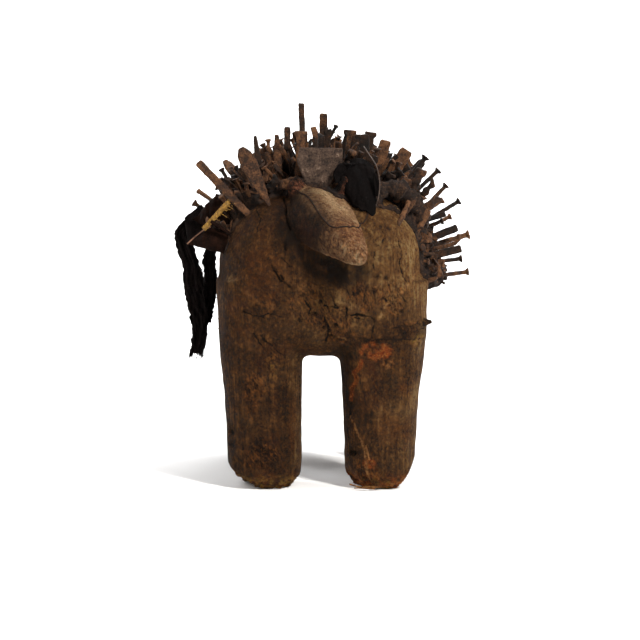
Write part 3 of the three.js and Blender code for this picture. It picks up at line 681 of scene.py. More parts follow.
def fibres(p, angle, cell, seed):
    """Ridges from 0 to 1 that run in the front plane at an angle from level: noise drawn out along them,
    folded at its middle so that its crests are sharp."""
    c, s = math.cos(math.radians(angle)), math.sin(math.radians(angle))
    along, across = p[..., 0] * c + p[..., 2] * s, p[..., 2] * c - p[..., 0] * s
    return 1 - 2 * np.abs(rough(np.stack([along * 0.25, p[..., 1] * 0.5, across], -1), cell, 2, seed, 0.6))


def wood_relief(p, n):
    """How far the surface stands off the plain form, and the masks that colour it.
    Broad waves and tool facets everywhere; grain that runs up the legs; V-shaped grooves along the cracks,
    which waver, widen and close up; round pits; broken places where fibres stand in ridges. The rise is
    the fine relief alone, which the finish shades."""
    x, z = p[..., 0], p[..., 2]
    head = head_share(p)
    facing = ease(-n[..., 1], 0.0, 0.35) * (p[..., 1] < FACING_FROM)
    waver = p + 1.2 * np.stack([rough(p, 7, 4, 1, 0.65), 0 * x, rough(p, 7, 4, 2, 0.65)], -1)
    wx, wz = waver[..., 0], waver[..., 2]
    low = ease(z, 150, 110)
    grain = rough(p * np.array([1, 1, 0.12]), 3.4, 3, 11, 0.7)
    chips = rough(p, 3.6, 3, 9, 0.6)
    out = WAVES * lattice_noise(p, 34, 3) + FACETS * rough(p, 13, 2, 4) * (1 - 0.6 * head)
    fine = (0.22 + 0.25 * low) * grain * (1 - head) + 0.32 * chips
    dark = np.zeros(x.shape)
    open_share = 0.55 + 0.45 * ease(rough(p, 6, 2, 5), -0.55, 0.25)
    for line, width, depth in CRACKS:
        groove = np.clip(1 - line_distance(wx, wz, line) / (0.7 * width * open_share), 0, 1)
        groove *= facing * (p[..., 1] < CRACKED_FROM) * (1 if line is CHEEK_CRACK else 1 - head)
        out -= depth * groove * open_share
        dark = np.maximum(dark, ease(groove, 0.0, 0.4) * (0.3 + 0.7 * open_share))
    for (px, pz), reach, depth in PITS:
        far = np.hypot(wx - px, wz - pz) * (1 + 0.5 * lattice_noise(p, 4, 13))
        pit = (1 - ease(far, 0.25 * reach, 0.95 * reach)) * facing * (1 - head)
        out -= depth * pit
        dark = np.maximum(dark, 0.8 * pit * min(depth / 2, 1))
    for (sx, sz), length in SCRATCHES:
        line = [(sx, sz), (sx + SCRATCH_WAY[0] * length, sz + SCRATCH_WAY[1] * length)]
        groove = facing * (1 - head) * stroke(waver, line, 0.3, 1.3) * open_share
        out -= SCRATCH_DEPTH * groove
        dark = np.maximum(dark, 0.45 * groove)
    broken = np.zeros(x.shape)
    for number, (middle, reach, depth, angle) in enumerate(CRUMBLED):
        share = front_blob(waver, middle, reach) * facing * (1 - head)
        share = ease(share + 0.5 * rough(p, 8, 3, 14 + number, 0.6) * (share > 0.02), 0.2, 0.75)
        ridges = fibres(p, angle, 3.4, 30 + number) + 0.7 * rough(p, 2.6, 2, 50 + number)
        out += depth * share * (0.5 * ridges - 0.55)
        fine = fine + 0.3 * share * (ridges - 0.25)
        broken = np.maximum(broken, share * min(depth / 2, 1))
    ledge_z = np.interp(x, [point[0] for point in LEDGE], [point[1] for point in LEDGE])
    on_leg = ease(x, 32, 44) * facing * (1 - head)
    out -= LEDGE_STEP * on_leg * ease(wz, ledge_z + 0.5, ledge_z - 1.2) * ease(z, 118, 150)
    # painted shade in the crease under the ledge's proud edge
    dark = np.maximum(dark, 0.85 * on_leg * (1 - ease(np.abs(wz - ledge_z + 0.6), 0.3, 1.5)))
    worn = ease(z + 5 * rough(p, 12, 2, 15), 19, 6)
    rags = rough(p * np.array([1, 1, 0.6]), 6.5, 4, 8, 0.65)
    out += worn * (2.3 * rags - 1.0)
    fine = fine + 0.5 * worn * rags
    # The snout is grainy below the string, and the brow above it is rubbed smooth.
    snout = head * ease(head_way(p), 0.5, 0.6)
    grains = rough(p, 3.0, 3, 12, 0.65)
    out += 0.7 * snout * grains + 1.3 * ear_share(p) * rough(p, 4, 3, 17, 0.6)
    fine = fine * (1 - 0.5 * head) + 0.3 * snout * grains
    rise = np.clip(0.5 + 0.7 * fine, 0, 1)
    return out, dark, broken, worn, head, snout, facing, rise


# Oval masks on the front: share, middle and reach in x and z.
PALE_SPOTS = [(0.6, (-96, 226), (8, 6)), (0.3, (-6, 300), (24, 20)), (0.3, (72, 62), (30, 52)),
              (0.42, (0, 192), (48, 44))]
WARM_SPOTS = [(0.7, (-32, 66), (6, 40)), (0.7, (85, 111), (6, 6)), (0.5, (70, 68), (22, 24)),
              (0.5, (-62, 232), (34, 40))]
GOUGED = [(0.8, (-73, 103), (16, 34)), (0.8, (-58, 40), (18, 16))]
# Single ovals, as middle and reach: bright rot under the ledge and at the foot; threads at the foot, on the
# leg and at the ledge's end; ochre at the ledge's end, on the left leg and on the chest; painted shade under
# the ledge's end and inside the right leg; and a painted glint in the pit there.
ROT_PATCH, ROT_FOOT = ((57, 150), (25, 15)), ((50, 29), (9, 8))
FOOT_THREADS, LEG_THREADS, LEDGE_THREADS = ((47, 24), (3, 6)), ((70, 137), (9, 8)), ((102, 160), (9, 7))
LEDGE_OCHRE, LEG_OCHRE, CHEST_OCHRE = ((102, 161), (10, 9)), ((-52, 137), (11, 16)), ((-8, 186), (30, 28))
LEDGE_SHADE, INNER_SHADE, GLINT = ((96, 172), (24, 9)), ((26, 120), (12, 50)), ((8, 167), (2.2, 2.6))
# Pale lines on the front, in x and z: a scratch, a scar, the crumbs below it and a loose fibre.
SCRATCH = [(62, 97), (60, 75), (59.5, 64)]
SCAR = [(102, 234), (92, 223), (83, 213)]
SCAR_CRUMBS = [(72, 208), (69, 202), (65, 196), (60, 186)]
FIBRE = [(16, 166), (28, 161)]


def wood_masks(p, n, relief):
    """What colours the wood, from 0 to 1 under the names that the finish reads: sums of ovals, strokes and
    noise, of height and of where the surface faces, from what the front shows."""
    _, dark, broken, worn, head, snout, facing, rise = relief
    x, z = p[:, 0], p[:, 2]
    ears, way, trunk = ear_share(p), head_way(p), 1 - head
    # Pale places: scars, scratches, the snout and spots, and painted light on the brow, the right shoulder
    # and every face turned to the right.
    # painted light on the brow's faces turned up and to the right
    brow = head * ease(way, 0.66, 0.5) * ease(n[:, 2] + 0.6 * n[:, 0] - 0.3 * n[:, 1], 0.35, 0.75)
    # painted light on the right shoulder's faces turned to the lamp
    shoulder = 0.64 * ease(x, 5, 75) * ease(z, 165, 215) * ease(-n[:, 1] + n[:, 0], -0.2, 0.8) * trunk
    crumbs = 0.8 * stroke(p, SCAR_CRUMBS, 0.6, 2.2) * ease(rise, 0.45, 0.75)
    scar = (0.9 * stroke(p, SCAR, 0.4, 1.4) + crumbs) * facing
    lines = scar + (0.9 * stroke(p, FIBRE, 0.4, 1.4) + 0.8 * stroke(p, SCRATCH, 0.5, 2.0)) * facing
    pale = (1.1 * brow + snout) * (1 - ears) + shoulder + lines + spots(p, PALE_SPOTS)
    # painted light on every face of the trunk turned to the right
    pale += 0.5 * ease(n[:, 0], 0.5, 0.95) * (z > 20) * trunk
    # Warm brown: painted light on the snout's faces turned up and to the right, fibrous places, streaks on
    # the legs, their feet.
    # painted light on the snout's upper right faces
    warm = 0.75 * snout * ease(n[:, 2] + n[:, 0], -0.2, 0.5) + 0.8 * broken * ease(rise, 0.4, 0.7)
    warm += spots(p, WARM_SPOTS) + 0.3 * ease(z, 30, 8)
    # Crumbs along the worn rims of the front feet, redder at the right.
    rim = ease(z, 19, 9) * ease(rough(p, 5, 3, 77, 0.6), -0.5, 0.2) * (p[:, 1] < FACING_FROM)
    # Bright rot: the patch under the ledge, the leg's crack and the foot; and its paler threads.
    rot = ease(front_blob(p, *ROT_PATCH) * (0.4 + 1.2 * ease(rough(p, 5, 2, 71), -0.5, 0.5)), 0.3, 0.8)
    rot += facing * stroke(p, LEG_CRACK, 1.2, 3.2) * (z > 94)
    rot += 1.2 * front_blob(p, *ROT_FOOT) * ease(rough(p, 4, 2, 79), -0.6, 0.2)
    rot += 0.25 * ease(z, 26, 10) * ease(rough(p, 9, 2, 72), 0.0, 0.5)
    rot += 0.8 * rim * ease(x, 10, 30)
    thread = facing * stroke(p, FOOT_CRACK, 0.5, 1.6) * (z < 80) + 0.7 * scar
    thread += facing * stroke(p, FOOT_BRANCH, 0.4, 1.5) + 0.5 * front_blob(p, *FOOT_THREADS)
    thread += 0.5 * front_blob(p, *LEG_THREADS) * ease(rise, 0.5, 0.8)
    thread += 0.5 * rim * ease(rough(p, 3, 2, 80), -0.1, 0.4)
    thread += 0.6 * front_blob(p, *LEDGE_THREADS) * ease(rise, 0.45, 0.7)
    ochre = 0.9 * worn * ease(rough(p, 5, 3, 74, 0.6), -0.3, 0.4) + 0.9 * front_blob(p, *LEDGE_OCHRE)
    ochre += 0.7 * front_blob(p, *LEG_OCHRE) * ease(rise, 0.45, 0.75)
    ochre += 0.45 * front_blob(p, *CHEST_OCHRE) * ease(rise, 0.5, 0.8)
    ochre += rim * ease(x, 30, 10)
    # Painted shade: the cheek away from the light, the legs below, the crown under the irons, the ledge's
    # end, the inside of the right leg, and the head's shadow on the chest in its lee.
    shade = 0.6 * head * ease(way, 0.95, 0.4) * ease(n[:, 0] - 0.4 * n[:, 2], 0.1, -0.5)
    shade += 0.2 * ease(z, 150, 60) * (1 - ease(z, 16, 4)) * ease(x, 30, -30)
    shade += 0.7 * head * ease(z + 0.3 * x, 318, 326) * ease(p[:, 1], -168, -150)
    shade += 0.35 * front_blob(p, *LEDGE_SHADE)
    shade += 0.5 * front_blob(p, *INNER_SHADE) * (1 - np.minimum(rot, 1))
    # painted shadow of the head on the chest, ragged at its edge
    shade += 0.85 * stroke(p, UNDER_HEAD, 4, 19) * facing * trunk * ease(rough(p, 9, 2, 73), -1.4, 0.1)
    # a painted glint: a small white highlight in the pit
    glint = front_blob(p, *GLINT)
    everywhere = (0.22 + 0.2 * ease(z, 160, 130)) * trunk * ease(rough(p, 12, 3, 75), -0.9, 0.7)
    gouged = spots(p, GOUGED) * ease(rough(p, 8, 3, 76), -0.6, 0.4)
    lit = 1 - 0.7 * dark
    return {
        "pale": np.maximum(pale * lit, glint),
        "warm": warm * lit,
        "ear": 0.8 * ears * lit,
        "broken": np.maximum(broken, everywhere + gouged),
        "snout": snout,
        "head": head,
        "rot": rot * (1 - 0.3 * dark),
        "thread": np.maximum(thread, glint),
        "ochre": ochre * lit,
        "dark": np.maximum(np.where(thread + rot > 0.4, 0.2 * dark, dark), shade) * (1 - glint),
        "rise": rise,
    }


def carve_wood(finish):
    """The wood: surface nets on its field, finer in front, settled on the form and given its relief."""
    xs, zs = np.arange(*GRID_X, FINE), np.arange(*GRID_Z, FINE)
    snout_end, coarse_from, tail_end = GRID_Y
    ys = np.concatenate([np.arange(snout_end, coarse_from, FINE), np.arange(coarse_from, tail_end, COARSE)])
    piece = put("pig_wood", *skin(wood_field, xs, ys, zs), "carved_wood", finish)
    mesh = piece.data
    refine(mesh, near_detail)
    refine(mesh, crack_near)
    p = settle(wood_field, points_of(mesh) / MM - SHIFT)
    n = slope(wood_field, p)
    n /= np.maximum(np.linalg.norm(n, axis=-1), 1e-6)[:, None]
    relief = wood_relief(p, n)
    moved = p + n * relief[0][:, None]
    moved[:, 2] = np.maximum(moved[:, 2], 0)
    set_points(mesh, (moved + SHIFT) * MM)
    for name, values in wood_masks(p, n, relief).items():
        paint(mesh, name, values)
    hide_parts("pig_body")


# The chip that stands off the right side, with the radius at its root and its tip, and the splinters that
# trail from the rotten foot, each with its radius and its number of points.
CHIP, CHIP_RADII = [(104, -138, 179), (110, -139, 179.5), (116.5, -139, 180)], (6.5, 1.6)
SPLINTERS = [
    ([(29, -144, 6), (40, -148, 3.5), (52, -150, 4), (64, -148, 3)], 0.9, 24),
    ([(34, -146, 2), (44, -150, 2.5), (56, -150, 1.6)], 0.7, 20),
]


def splinter_wood(finish):
    """A chip, as a cone, and pale splinters."""
    joined("wood_chip", [tube(smooth_line(CHIP, 14), np.linspace(*CHIP_RADII, 14), 9)], "carved_wood", finish)
    shapes = [tube(smooth_line(line, count), radius, 6) for line, radius, count in SPLINTERS]
    splinters = joined("foot_splinters", shapes, "carved_wood", finish)
    paint(splinters.data, "thread", np.ones(len(splinters.data.vertices)))


# The packing: its stretch along the barrel, its angles round it in degrees from the top, its thickness.
PACK = dict(y0=-122.0, y1=138.0, phi0=-70.0, phi1=93.0, thick=22.0)
FLANK_THINNER, FLANK_FROM, FLANK_TO = 0.52, (34, 52), (74, 86)  # where the right flank's packing is thin
ROOT = 12.0  # how deep the small irons stand in the packing


def on_barrel(y, phi, out):
    """The points that stand out from the barrel at station y and at an angle round it in degrees."""
    s, c = np.sin(np.radians(phi)), np.cos(np.radians(phi))
    shrink = np.maximum(1 - np.abs(y / BARREL["y"]) ** BARREL["blunt"], 1e-6) ** (1 / BARREL["blunt"])
    r = shrink / barrel_ring(s, c) + out
    return np.stack([r * s, y + 0 * r, BARREL["z"] + r * c], -1)


def pack_thickness(y, phi):
    """The packing's thickness: full in the middle, thin at its ends, its left edge and along the right
    flank, with slow lumps."""
    ends = np.minimum(1, np.minimum((y - PACK["y0"]) / 60 + 0.35, (PACK["y1"] - y) / 50 + 0.3))
    sides = np.minimum(1, np.minimum((phi - PACK["phi0"]) / 30 + 0.4, (PACK["phi1"] - phi) / 12 + 0.75))
    lumps = np.sin(y * 0.11 + phi * 0.13) + np.sin(y * 0.07 - phi * 0.19 + 1)
    flank = 1 - FLANK_THINNER * ease(phi, *FLANK_FROM) * (1 - ease(phi, *FLANK_TO))
    return PACK["thick"] * ends * sides * flank + 1.8 * lumps


def turning(swing=0.0, lean=0.0, twist=0.0):
    """Rotation about Y by the first angle, then X, then Z, in degrees: its columns are an iron's own
    width, thickness and length."""
    a, b, c = np.radians([swing, lean, twist])
    about_y = np.array([[math.cos(a), 0, math.sin(a)], [0, 1, 0], [-math.sin(a), 0, math.cos(a)]])
    about_x = np.array([[1, 0, 0], [0, math.cos(b), -math.sin(b)], [0, math.sin(b), math.cos(b)]])
    about_z = np.array([[math.cos(c), -math.sin(c), 0], [math.sin(c), math.cos(c), 0], [0, 0, 1]])
    return about_y @ about_x @ about_z


def closed_tube(rings):
    """Quads between rings of points, given as rows, and a many-sided face over each end."""
    rows, around = rings.shape[:2]
    start = np.arange(rows - 1)[:, None] * around
    a = start + np.arange(around)
    b = start + (np.arange(around) + 1) % around
    quads = np.stack([a, b, b + around, a + around], -1).reshape(-1, 4).tolist()
    ends = [list(range(around))[::-1], list(range((rows - 1) * around, rows * around))]
    return rings.reshape(-1, 3), quads + ends


# Outlines of flat irons: half-width as a share of the width, at shares of the height.
OUTLINES = {
    "bar": [(0, 0.85), (0.5, 1.0), (0.9, 1.0), (1, 0.85)],
    "headed": [(0, 0.75), (0.82, 0.8), (0.88, 1.3), (1, 1.35)],
    "blade": [(0, 0.25), (0.42, 0.7), (0.72, 1.0), (0.9, 0.8), (1, 0.3)],
    "splinter": [(0, 1.0), (0.45, 0.95), (0.8, 0.65), (1, 0.2)],
    "notched": [(0, 0.8), (0.55, 0.9), (0.62, 0.6), (0.75, 0.65), (0.85, 1.1), (1, 0.9)],
    "slab": [(0, 0.95), (0.3, 1.05), (0.7, 0.95), (1, 1.1)],
}


def flat_iron(out, width, thick, outline, dice, rows=9):
    """A flat iron along +Z: a rounded rectangle carried up its height, wide as its outline says, bowed
    with the square of the height, twisted evenly, with ragged edges and a slanting broken top."""
    t = np.linspace(0, 1, rows)
    shares, widths = zip(*OUTLINES[outline])
    half = width / 2 * np.interp(t, shares, widths) * (1 + 0.14 * dice.uniform(-1, 1, rows))
    corner = np.radians(np.array([8, 62, 90, 118, 172, 188, 242, 270, 298, 352]))
    u = np.sign(np.cos(corner)) * np.abs(np.cos(corner)) ** 0.35
    v = np.sign(np.sin(corner)) * np.abs(np.sin(corner)) ** 0.35
    spread = half[:, None] * u * (1 + 0.1 * dice.uniform(-1, 1, (rows, len(corner))))
    depth = thick / 2 * v * (1 + 0.3 * dice.uniform(-1, 1, (rows, len(corner))))
    angle = np.radians(dice.uniform(-22, 22)) * t[:, None]
    slant = dice.uniform(-0.5, 0.5) * u * half[:, None] * (t[:, None] > 0.99)
    height = (t * (out + ROOT) - ROOT)[:, None] + slant
    x = spread * np.cos(angle) - depth * np.sin(angle) + dice.uniform(-3, 3) * (t**2)[:, None]
    y = spread * np.sin(angle) + depth * np.cos(angle) + dice.uniform(-4, 4) * (t**2)[:, None]
    return closed_tube(np.stack([x, y, height], -1))


def round_iron(out, width, square, dice, sides=8):
    """A nail along +Z: a round or four-sided shank that thickens upwards, bowed a little, with a flat
    head a good twice as wide, or a small beaten one."""
    heights = np.array([-ROOT, 0, 0.35 * out, 0.7 * out, out - 3.2, out - 2.2, out - 1.0, out - 0.3, out])
    head = 1.5 if square else 2.2
    radii = width / 2 * np.array([0.8, 0.9, 0.95, 1, 1, 1.15, head, head, head * 0.75])
    around = np.arange(sides) * 2 * math.pi / sides
    section = 1 / np.maximum(np.abs(np.cos(around)), np.abs(np.sin(around))) if square else np.ones(sides)
    r = radii[:, None] * section * (1 + 0.1 * dice.uniform(-1, 1, (len(heights), sides)))
    bow = (np.maximum(heights, 0) / out) ** 2
    tilt = dice.uniform(-0.3, 0.3, 2)
    slant = (r * np.cos(around) * tilt[0] + r * np.sin(around) * tilt[1]) * (heights > out - 2)[:, None]
    z = heights[:, None] + slant
    x = r * np.cos(around) + dice.uniform(-2.5, 2.5) * bow[:, None]
    y = r * np.sin(around) + dice.uniform(-2.5, 2.5) * bow[:, None]
    return closed_tube(np.stack([x, y, z], -1))


# How far the mass of small irons reaches beyond the barrel, at angles round it.
REACH = [(-70, 20), (-60, 29), (-54, 34), (-48, 40), (-36, 45), (-24, 51), (-18, 54), (-10, 59), (-5, 64),
         (1, 65), (8, 60), (13, 52), (26, 50), (34, 45), (44, 33), (49, 25), (53, 15), (60, 12), (73, 12),
         (79, 16), (85, 21), (93, 23)]
# How often each kind of small iron comes: the outlines in their order, then nails and spikes.
KINDS, CHANCES = list(OUTLINES) + ["nail", "spike"], [0.2, 0.12, 0.1, 0.14, 0.1, 0.08, 0.16, 0.1]
SHAKE_ALONG, SHAKE_ROUND = 5, 3  # how far each may lie off its station in mm and off its angle in degrees
SUNK, LEAST_OUT = 5, 7  # how far below the packing's face they start, and the least they stand out


def small_irons(dice, finish, name, ys, phis, share, front, tangle):
    """A cluster of small irons set in the packing, joined to one piece. Each stands square to the barrel
    at a station and an angle, shaken a little, and leans by chance; share is how much of the reach it
    comes up to. In a tangle they are shorter and narrower, lean every way and cross each other."""
    shapes, tints = [], []
    for y in ys:
        for phi in phis:
            y_at = y + dice.uniform(-SHAKE_ALONG, SHAKE_ALONG)
            phi_at = phi + dice.uniform(-SHAKE_ROUND, SHAKE_ROUND)
            kind = dice.choice(KINDS, p=CHANCES)
            reach = np.interp(phi_at, *zip(*REACH)) * share * dice.uniform(0.68, 1.0)
            y_at, phi_at = np.float64(y_at), np.float64(phi_at)
            sunk = max(float(pack_thickness(y_at, phi_at)) - SUNK, 0)
            out = max((reach - sunk) * (0.75 if tangle else 1.0), LEAST_OUT)
            if kind == "nail":
                shape = round_iron(out, dice.uniform(3.0, 4.2), False, dice)
            elif kind == "spike":
                shape = round_iron(out, dice.uniform(3, 4.6), True, dice)
            else:
                width = dice.uniform(2.5, 6) if tangle else dice.uniform(4, 10)
                shape = flat_iron(out, width, dice.uniform(1.4, 3.2), kind, dice)
            spread = 2.6 if tangle else 1.0
            swing, lean = dice.normal(0, 13 * spread), dice.normal(6 if front else -3, 9 * spread)
            turn = turning(phi_at + swing, lean, dice.uniform(-70, 70))
            shapes.append((shape[0] @ turn.T + on_barrel(y_at, phi_at, sunk), shape[1]))
            tints.append(np.full(len(shape[0]), dice.uniform()))
    piece = joined(name, shapes, "rusted_iron", finish, smooth=False)
    paint(piece.data, "tint", np.concatenate(tints))
    roughen(piece, 0.32, 3.0, 21)


# Irons and lumps at the front that stand apart: what they are, foot and tip, width and thickness.
FRONT_IRONS = [
    ("slab", (80, -116, 299), (87, -126, 322), 15, 3.6),
    ("slab", (88, -113, 303), (98, -119, 318), 9, 4.5),
    ("slab", (98, -108, 296), (103, -114, 310), 8, 4),
    ("slab", (-46, -125, 324), (-24, -133, 330), 10, 5.5),
    ("slab", (-58, -124, 318), (-48, -130, 332), 8, 5),
    ("slab", (22, -128, 334), (30, -135, 345), 8, 5),
    ("slab", (27, -118, 350), (33, -127, 361), 8, 6),
    ("notched", (66, -118, 318), (74, -126, 338), 11, 3),
    ("slab", (70, -114, 330), (84, -120, 341), 10, 4),
    ("bar", (12, -132, 322), (20, -140, 334), 5, 3),
    ("splinter", (-70, -108, 298), (-60, -130, 322), 6, 3),
    ("bar", (-84, -116, 300), (-92, -128, 320), 6, 2.6),
    ("slab", (-104, -100, 316), (-112, -106, 328), 9, 4),
    ("slab", (92, -110, 316), (108, -118, 340), 10, 5),
    ("notched", (103, -108, 310), (121, -114, 327), 9, 4),
    ("slab", (108, -104, 296), (125, -108, 310), 8, 4),
    ("bar", (92, -132, 308), (80, -146, 283), 5, 3.4),
    ("bar", (100, -96, 250), (124, -96, 246), 7, 4),
    ("slab", (108, -92, 236), (128, -96, 231), 11, 5),
    ("notched", (106, -88, 244), (132, -90, 239), 8, 4),
]


EDGE_VOXEL, IRON_VOXEL = 0.8, 0.75  # the grain of the irons' meshes: those of this table, and the part's own


def placed(kind, foot, tip, width, thick, dice):
    """The points and faces of a flat iron from its foot to its tip, its width across the front view."""
    axis = np.subtract(tip, foot)
    length = np.linalg.norm(axis)
    axis = axis / length
    across = np.cross((0, -1, 0), axis)
    across /= np.linalg.norm(across)
    points, faces = flat_iron(length - ROOT, width, thick, kind, dice)
    return (points + (0, 0, ROOT)) @ np.stack([across, np.cross(axis, across), axis]) + np.array(foot), faces


def front_irons(dice, finish):
    """The irons and lumps of the front's table, joined to one piece."""
    shapes = [placed(*row, dice) for row in FRONT_IRONS]
    piece = joined("small_irons_front_edge", shapes, "rusted_iron", finish, smooth=False)
    grained(piece, EDGE_VOXEL)
    roughen(piece, 0.9, 4.0, 23, swell=0.5)
    paint(piece.data, "tint", 0.5 + 0.9 * lattice_noise(points_of(piece.data) / MM, 18, 29))


def roughen(piece, height, cell, seed, swell=0.0):
    """Corrosion: moves each vertex along its normal by noise, sinks pits where the noise peaks, and swells
    the iron by what its smoothing took."""
    mesh = piece.data
    p = points_of(mesh) / MM
    noise = rough(p, cell, 3, seed, 0.6)
    pits = ease(lattice_noise(p, cell * 1.7, seed + 7), 0.25, 0.7)
    out = swell + height * (0.8 * noise - 1.0 * pits)
    set_points(mesh, (p + normals_of(mesh) * out[:, None]) * MM)


def corroded(node, finish, number):
    """An iron of the part with a fine, rusted surface: the same solid in small voxels, smoothed and
    roughened, and of its own tint."""
    source = frame["nodes"][node]
    mesh = source.data.copy()
    build = bmesh.new()
    build.from_mesh(mesh)
    bmesh.ops.remove_doubles(build, verts=build.verts, dist=1e-5)
    build.to_mesh(mesh)
    build.free()
    piece = dress(bpy.data.objects.new(node + "_rusted", mesh), finish)
    grained(piece, IRON_VOXEL)
    roughen(piece, 0.26, 2.6, number, swell=0.42)
    paint(piece.data, "tint", np.full(len(piece.data.vertices), number * 0.37 % 1))
    piece.data.shade_smooth()
    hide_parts(node)


def frame_slot(node):
    """The material slot that the record gives a node."""
    return next(row["material_slot"] for row in frame["record"]["subparts"] if row["node"] == node)


def grained(piece, voxel):
    """The same solid in small voxels, smoothed: what the two modifiers show becomes the piece's mesh."""
    remesh = piece.modifiers.new("grain", "REMESH")
    remesh.mode, remesh.voxel_size = "VOXEL", voxel * MM
    smooth = piece.modifiers.new("soft", "SMOOTH")
    smooth.factor, smooth.iterations = 0.5, 3
    graph = bpy.context.evaluated_depsgraph_get()
    mesh = bpy.data.meshes.new_from_object(piece.evaluated_get(graph))
    piece.modifiers.clear()
    piece.data = mesh
    mesh.shade_smooth()


def iron_finish(name, dark, mid, warm, shine):
    """Rusted iron: dark scale, brown rust and warm powder in clouds, each iron a little lighter or darker,
    with dull metal where it is rubbed."""
    make = Finish(name, specular=0.22, metallic=shine)
    clouds = make.noise(110, 7, 0.72)
    grain = make.noise(620, 5, 0.75)
    tint = make.painted("tint")
    tone = make.plus(make.blend(clouds, grain, 0.34), make.between(tint, 0, 1, -0.11, 0.1))
    colour = make.ramp(tone, (0.36, dark), (0.5, mid), (0.63, warm))
    light = make.times(make.between(clouds, 0.52, 0.62), make.between(tint, 0.6, 1.0, 0, 0.2))
    colour = make.mix(light, colour, (134, 104, 80))
    colour = make.mix(make.between(grain, 0.45, 0.26, 0, 0.8), colour, (12, 8, 6))
    make.bump(clouds, 0.002)
    make.bump(grain, 0.0009)
    return make.done(colour, make.between(clouds, 0.35, 0.65, 0.54, 0.85))


CRUST_STEP = 1.5  # the crust's grid along the barrel; around it, half that in degrees
CRUST_UNDER = -1.2  # how far its inner face lies inside the barrel
CRUST_BROWNS = (0.36, (10, 7, 6)), (0.5, (28, 19, 14)), (0.6, (62, 43, 30)), (0.68, (130, 96, 58))


def packing_finish():
    """Dark granular crust: earth and resin with browner crumbs and a few straw-coloured bits."""
    make = Finish("packing", roughness=0.9, specular=0.2)
    clouds = make.noise(70, 6, 0.7)
    grain = make.noise(380, 5, 0.75)
    colour = make.ramp(make.blend(clouds, grain, 0.5), *CRUST_BROWNS)
    make.bump(clouds, 0.002)
    make.bump(grain, 0.0014)
    return make.done(colour)


def make_packing(finish):
    """The crust: a shell between the wood and its own thickness, its outer face heaped with lumps, grains
    and cracks, its edges crumbling."""
    phis = np.arange(PACK["phi0"] - 1.5, PACK["phi1"] + 1.5, CRUST_STEP / 2)
    ys = np.arange(PACK["y0"] - 3, PACK["y1"] + 3, CRUST_STEP)
    y, phi = np.meshgrid(ys, phis, indexing="ij")
    base = on_barrel(y, phi, 0)
    edge_phi = np.minimum(phi - PACK["phi0"], PACK["phi1"] - phi)
    edge_y = np.minimum(y - PACK["y0"], PACK["y1"] - y) * 0.5
    edge = np.minimum(edge_phi, edge_y) + 1.8 * rough(base, 8, 2, 31) + 0.9
    thick = pack_thickness(y, phi) * ease(edge, -0.5, 2.2)
    cracks = 1 - ease(crackle(base, 9, 37), 0, 0.25)
    lumps = 2.2 * rough(base, 11, 2, 33) + 1.5 * rough(base, 4.5, 2, 35) - 2.0 * cracks
    out = np.maximum(thick - 1.5 + lumps * ease(edge, -0.5, 2.5), 0.15)
    outer = on_barrel(y, phi, out)
    inner = on_barrel(y, phi, CRUST_UNDER + 0 * out)
    rows, columns = y.shape
    points = np.concatenate([outer.reshape(-1, 3), inner.reshape(-1, 3)])
    piece = put("packing_crust", points, shell_faces(rows, columns), "packing", finish)
    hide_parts("packing")


def smooth_line(route, count):
    """A smooth line through the route's points (Catmull-Rom), as evenly spaced points."""
    p = np.array(route, float)
    p = np.vstack([2 * p[0] - p[1], p, 2 * p[-1] - p[-2]])
    t = np.linspace(0, len(p) - 3, 16 * len(p))
    i = np.minimum(t.astype(int), len(p) - 4)
    f = (t - i)[:, None]
    a, b, c, d = p[i], p[i + 1], p[i + 2], p[i + 3]
    line = b + 0.5 * f * (c - a + f * (2 * a - 5 * b + 4 * c - d + f * (3 * b - a - 3 * c + d)))
    travelled = np.concatenate([[0], np.cumsum(np.linalg.norm(np.diff(line, axis=0), axis=1))])
    even = np.linspace(0, travelled[-1], count)
    return np.stack([np.interp(even, travelled, line[:, k]) for k in range(3)], -1)


def tube(line, radius, sides=7):
    """A closed tube along a line of points; its radius may change from point to point."""
    along = np.gradient(line, axis=0)
    along /= np.linalg.norm(along, axis=1)[:, None]
    guide = np.array([0.31, 0.87, 0.38])
    across = np.cross(along, guide)
    across /= np.linalg.norm(across, axis=1)[:, None]
    third = np.cross(along, across)
    turn = np.arange(sides) * 2 * math.pi / sides
    ring = np.cos(turn)[:, None] * across[:, None] + np.sin(turn)[:, None] * third[:, None]
    return closed_tube(line[:, None] + ring * np.broadcast_to(radius, len(line))[:, None, None])


def joined(name, shapes, slot, finish, smooth=True):
    """One piece from several closed shapes."""
    faces, count = [], 0
    for points, own in shapes:
        faces += [[corner + count for corner in face] for face in own]
        count += len(points)
    return put(name, np.concatenate([points for points, _ in shapes]), faces, slot, finish, smooth)


def shell_faces(rows, columns):
    """Faces of a closed shell between two grids of points, the outer one first."""
    a = (np.arange(rows - 1)[:, None] * columns + np.arange(columns - 1)).ravel()
    top = np.stack([a, a + columns, a + columns + 1, a + 1], -1)
    below = rows * columns
    rim = np.concatenate([
        np.arange(columns - 1), np.arange(rows - 1) * columns + columns - 1,
        (rows - 1) * columns + np.arange(columns - 1, 0, -1), np.arange(rows - 1, 0, -1) * columns,
    ])
    after = np.roll(rim, -1)
    return np.concatenate([top, top[:, ::-1] + below, np.stack([rim, after, after + below, rim + below], -1)])


def sheet_shape(grid, thick):
    """A closed sheet: a grid of points with its two faces half the thickness to either side."""
    n = np.cross(np.gradient(grid, axis=0), np.gradient(grid, axis=1))
    n /= np.maximum(np.linalg.norm(n, axis=-1), 1e-9)[..., None]
    sides = [(grid + n * thick / 2).reshape(-1, 3), (grid - n * thick / 2).reshape(-1, 3)]
    return np.concatenate(sides), shell_faces(*grid.shape[:2])


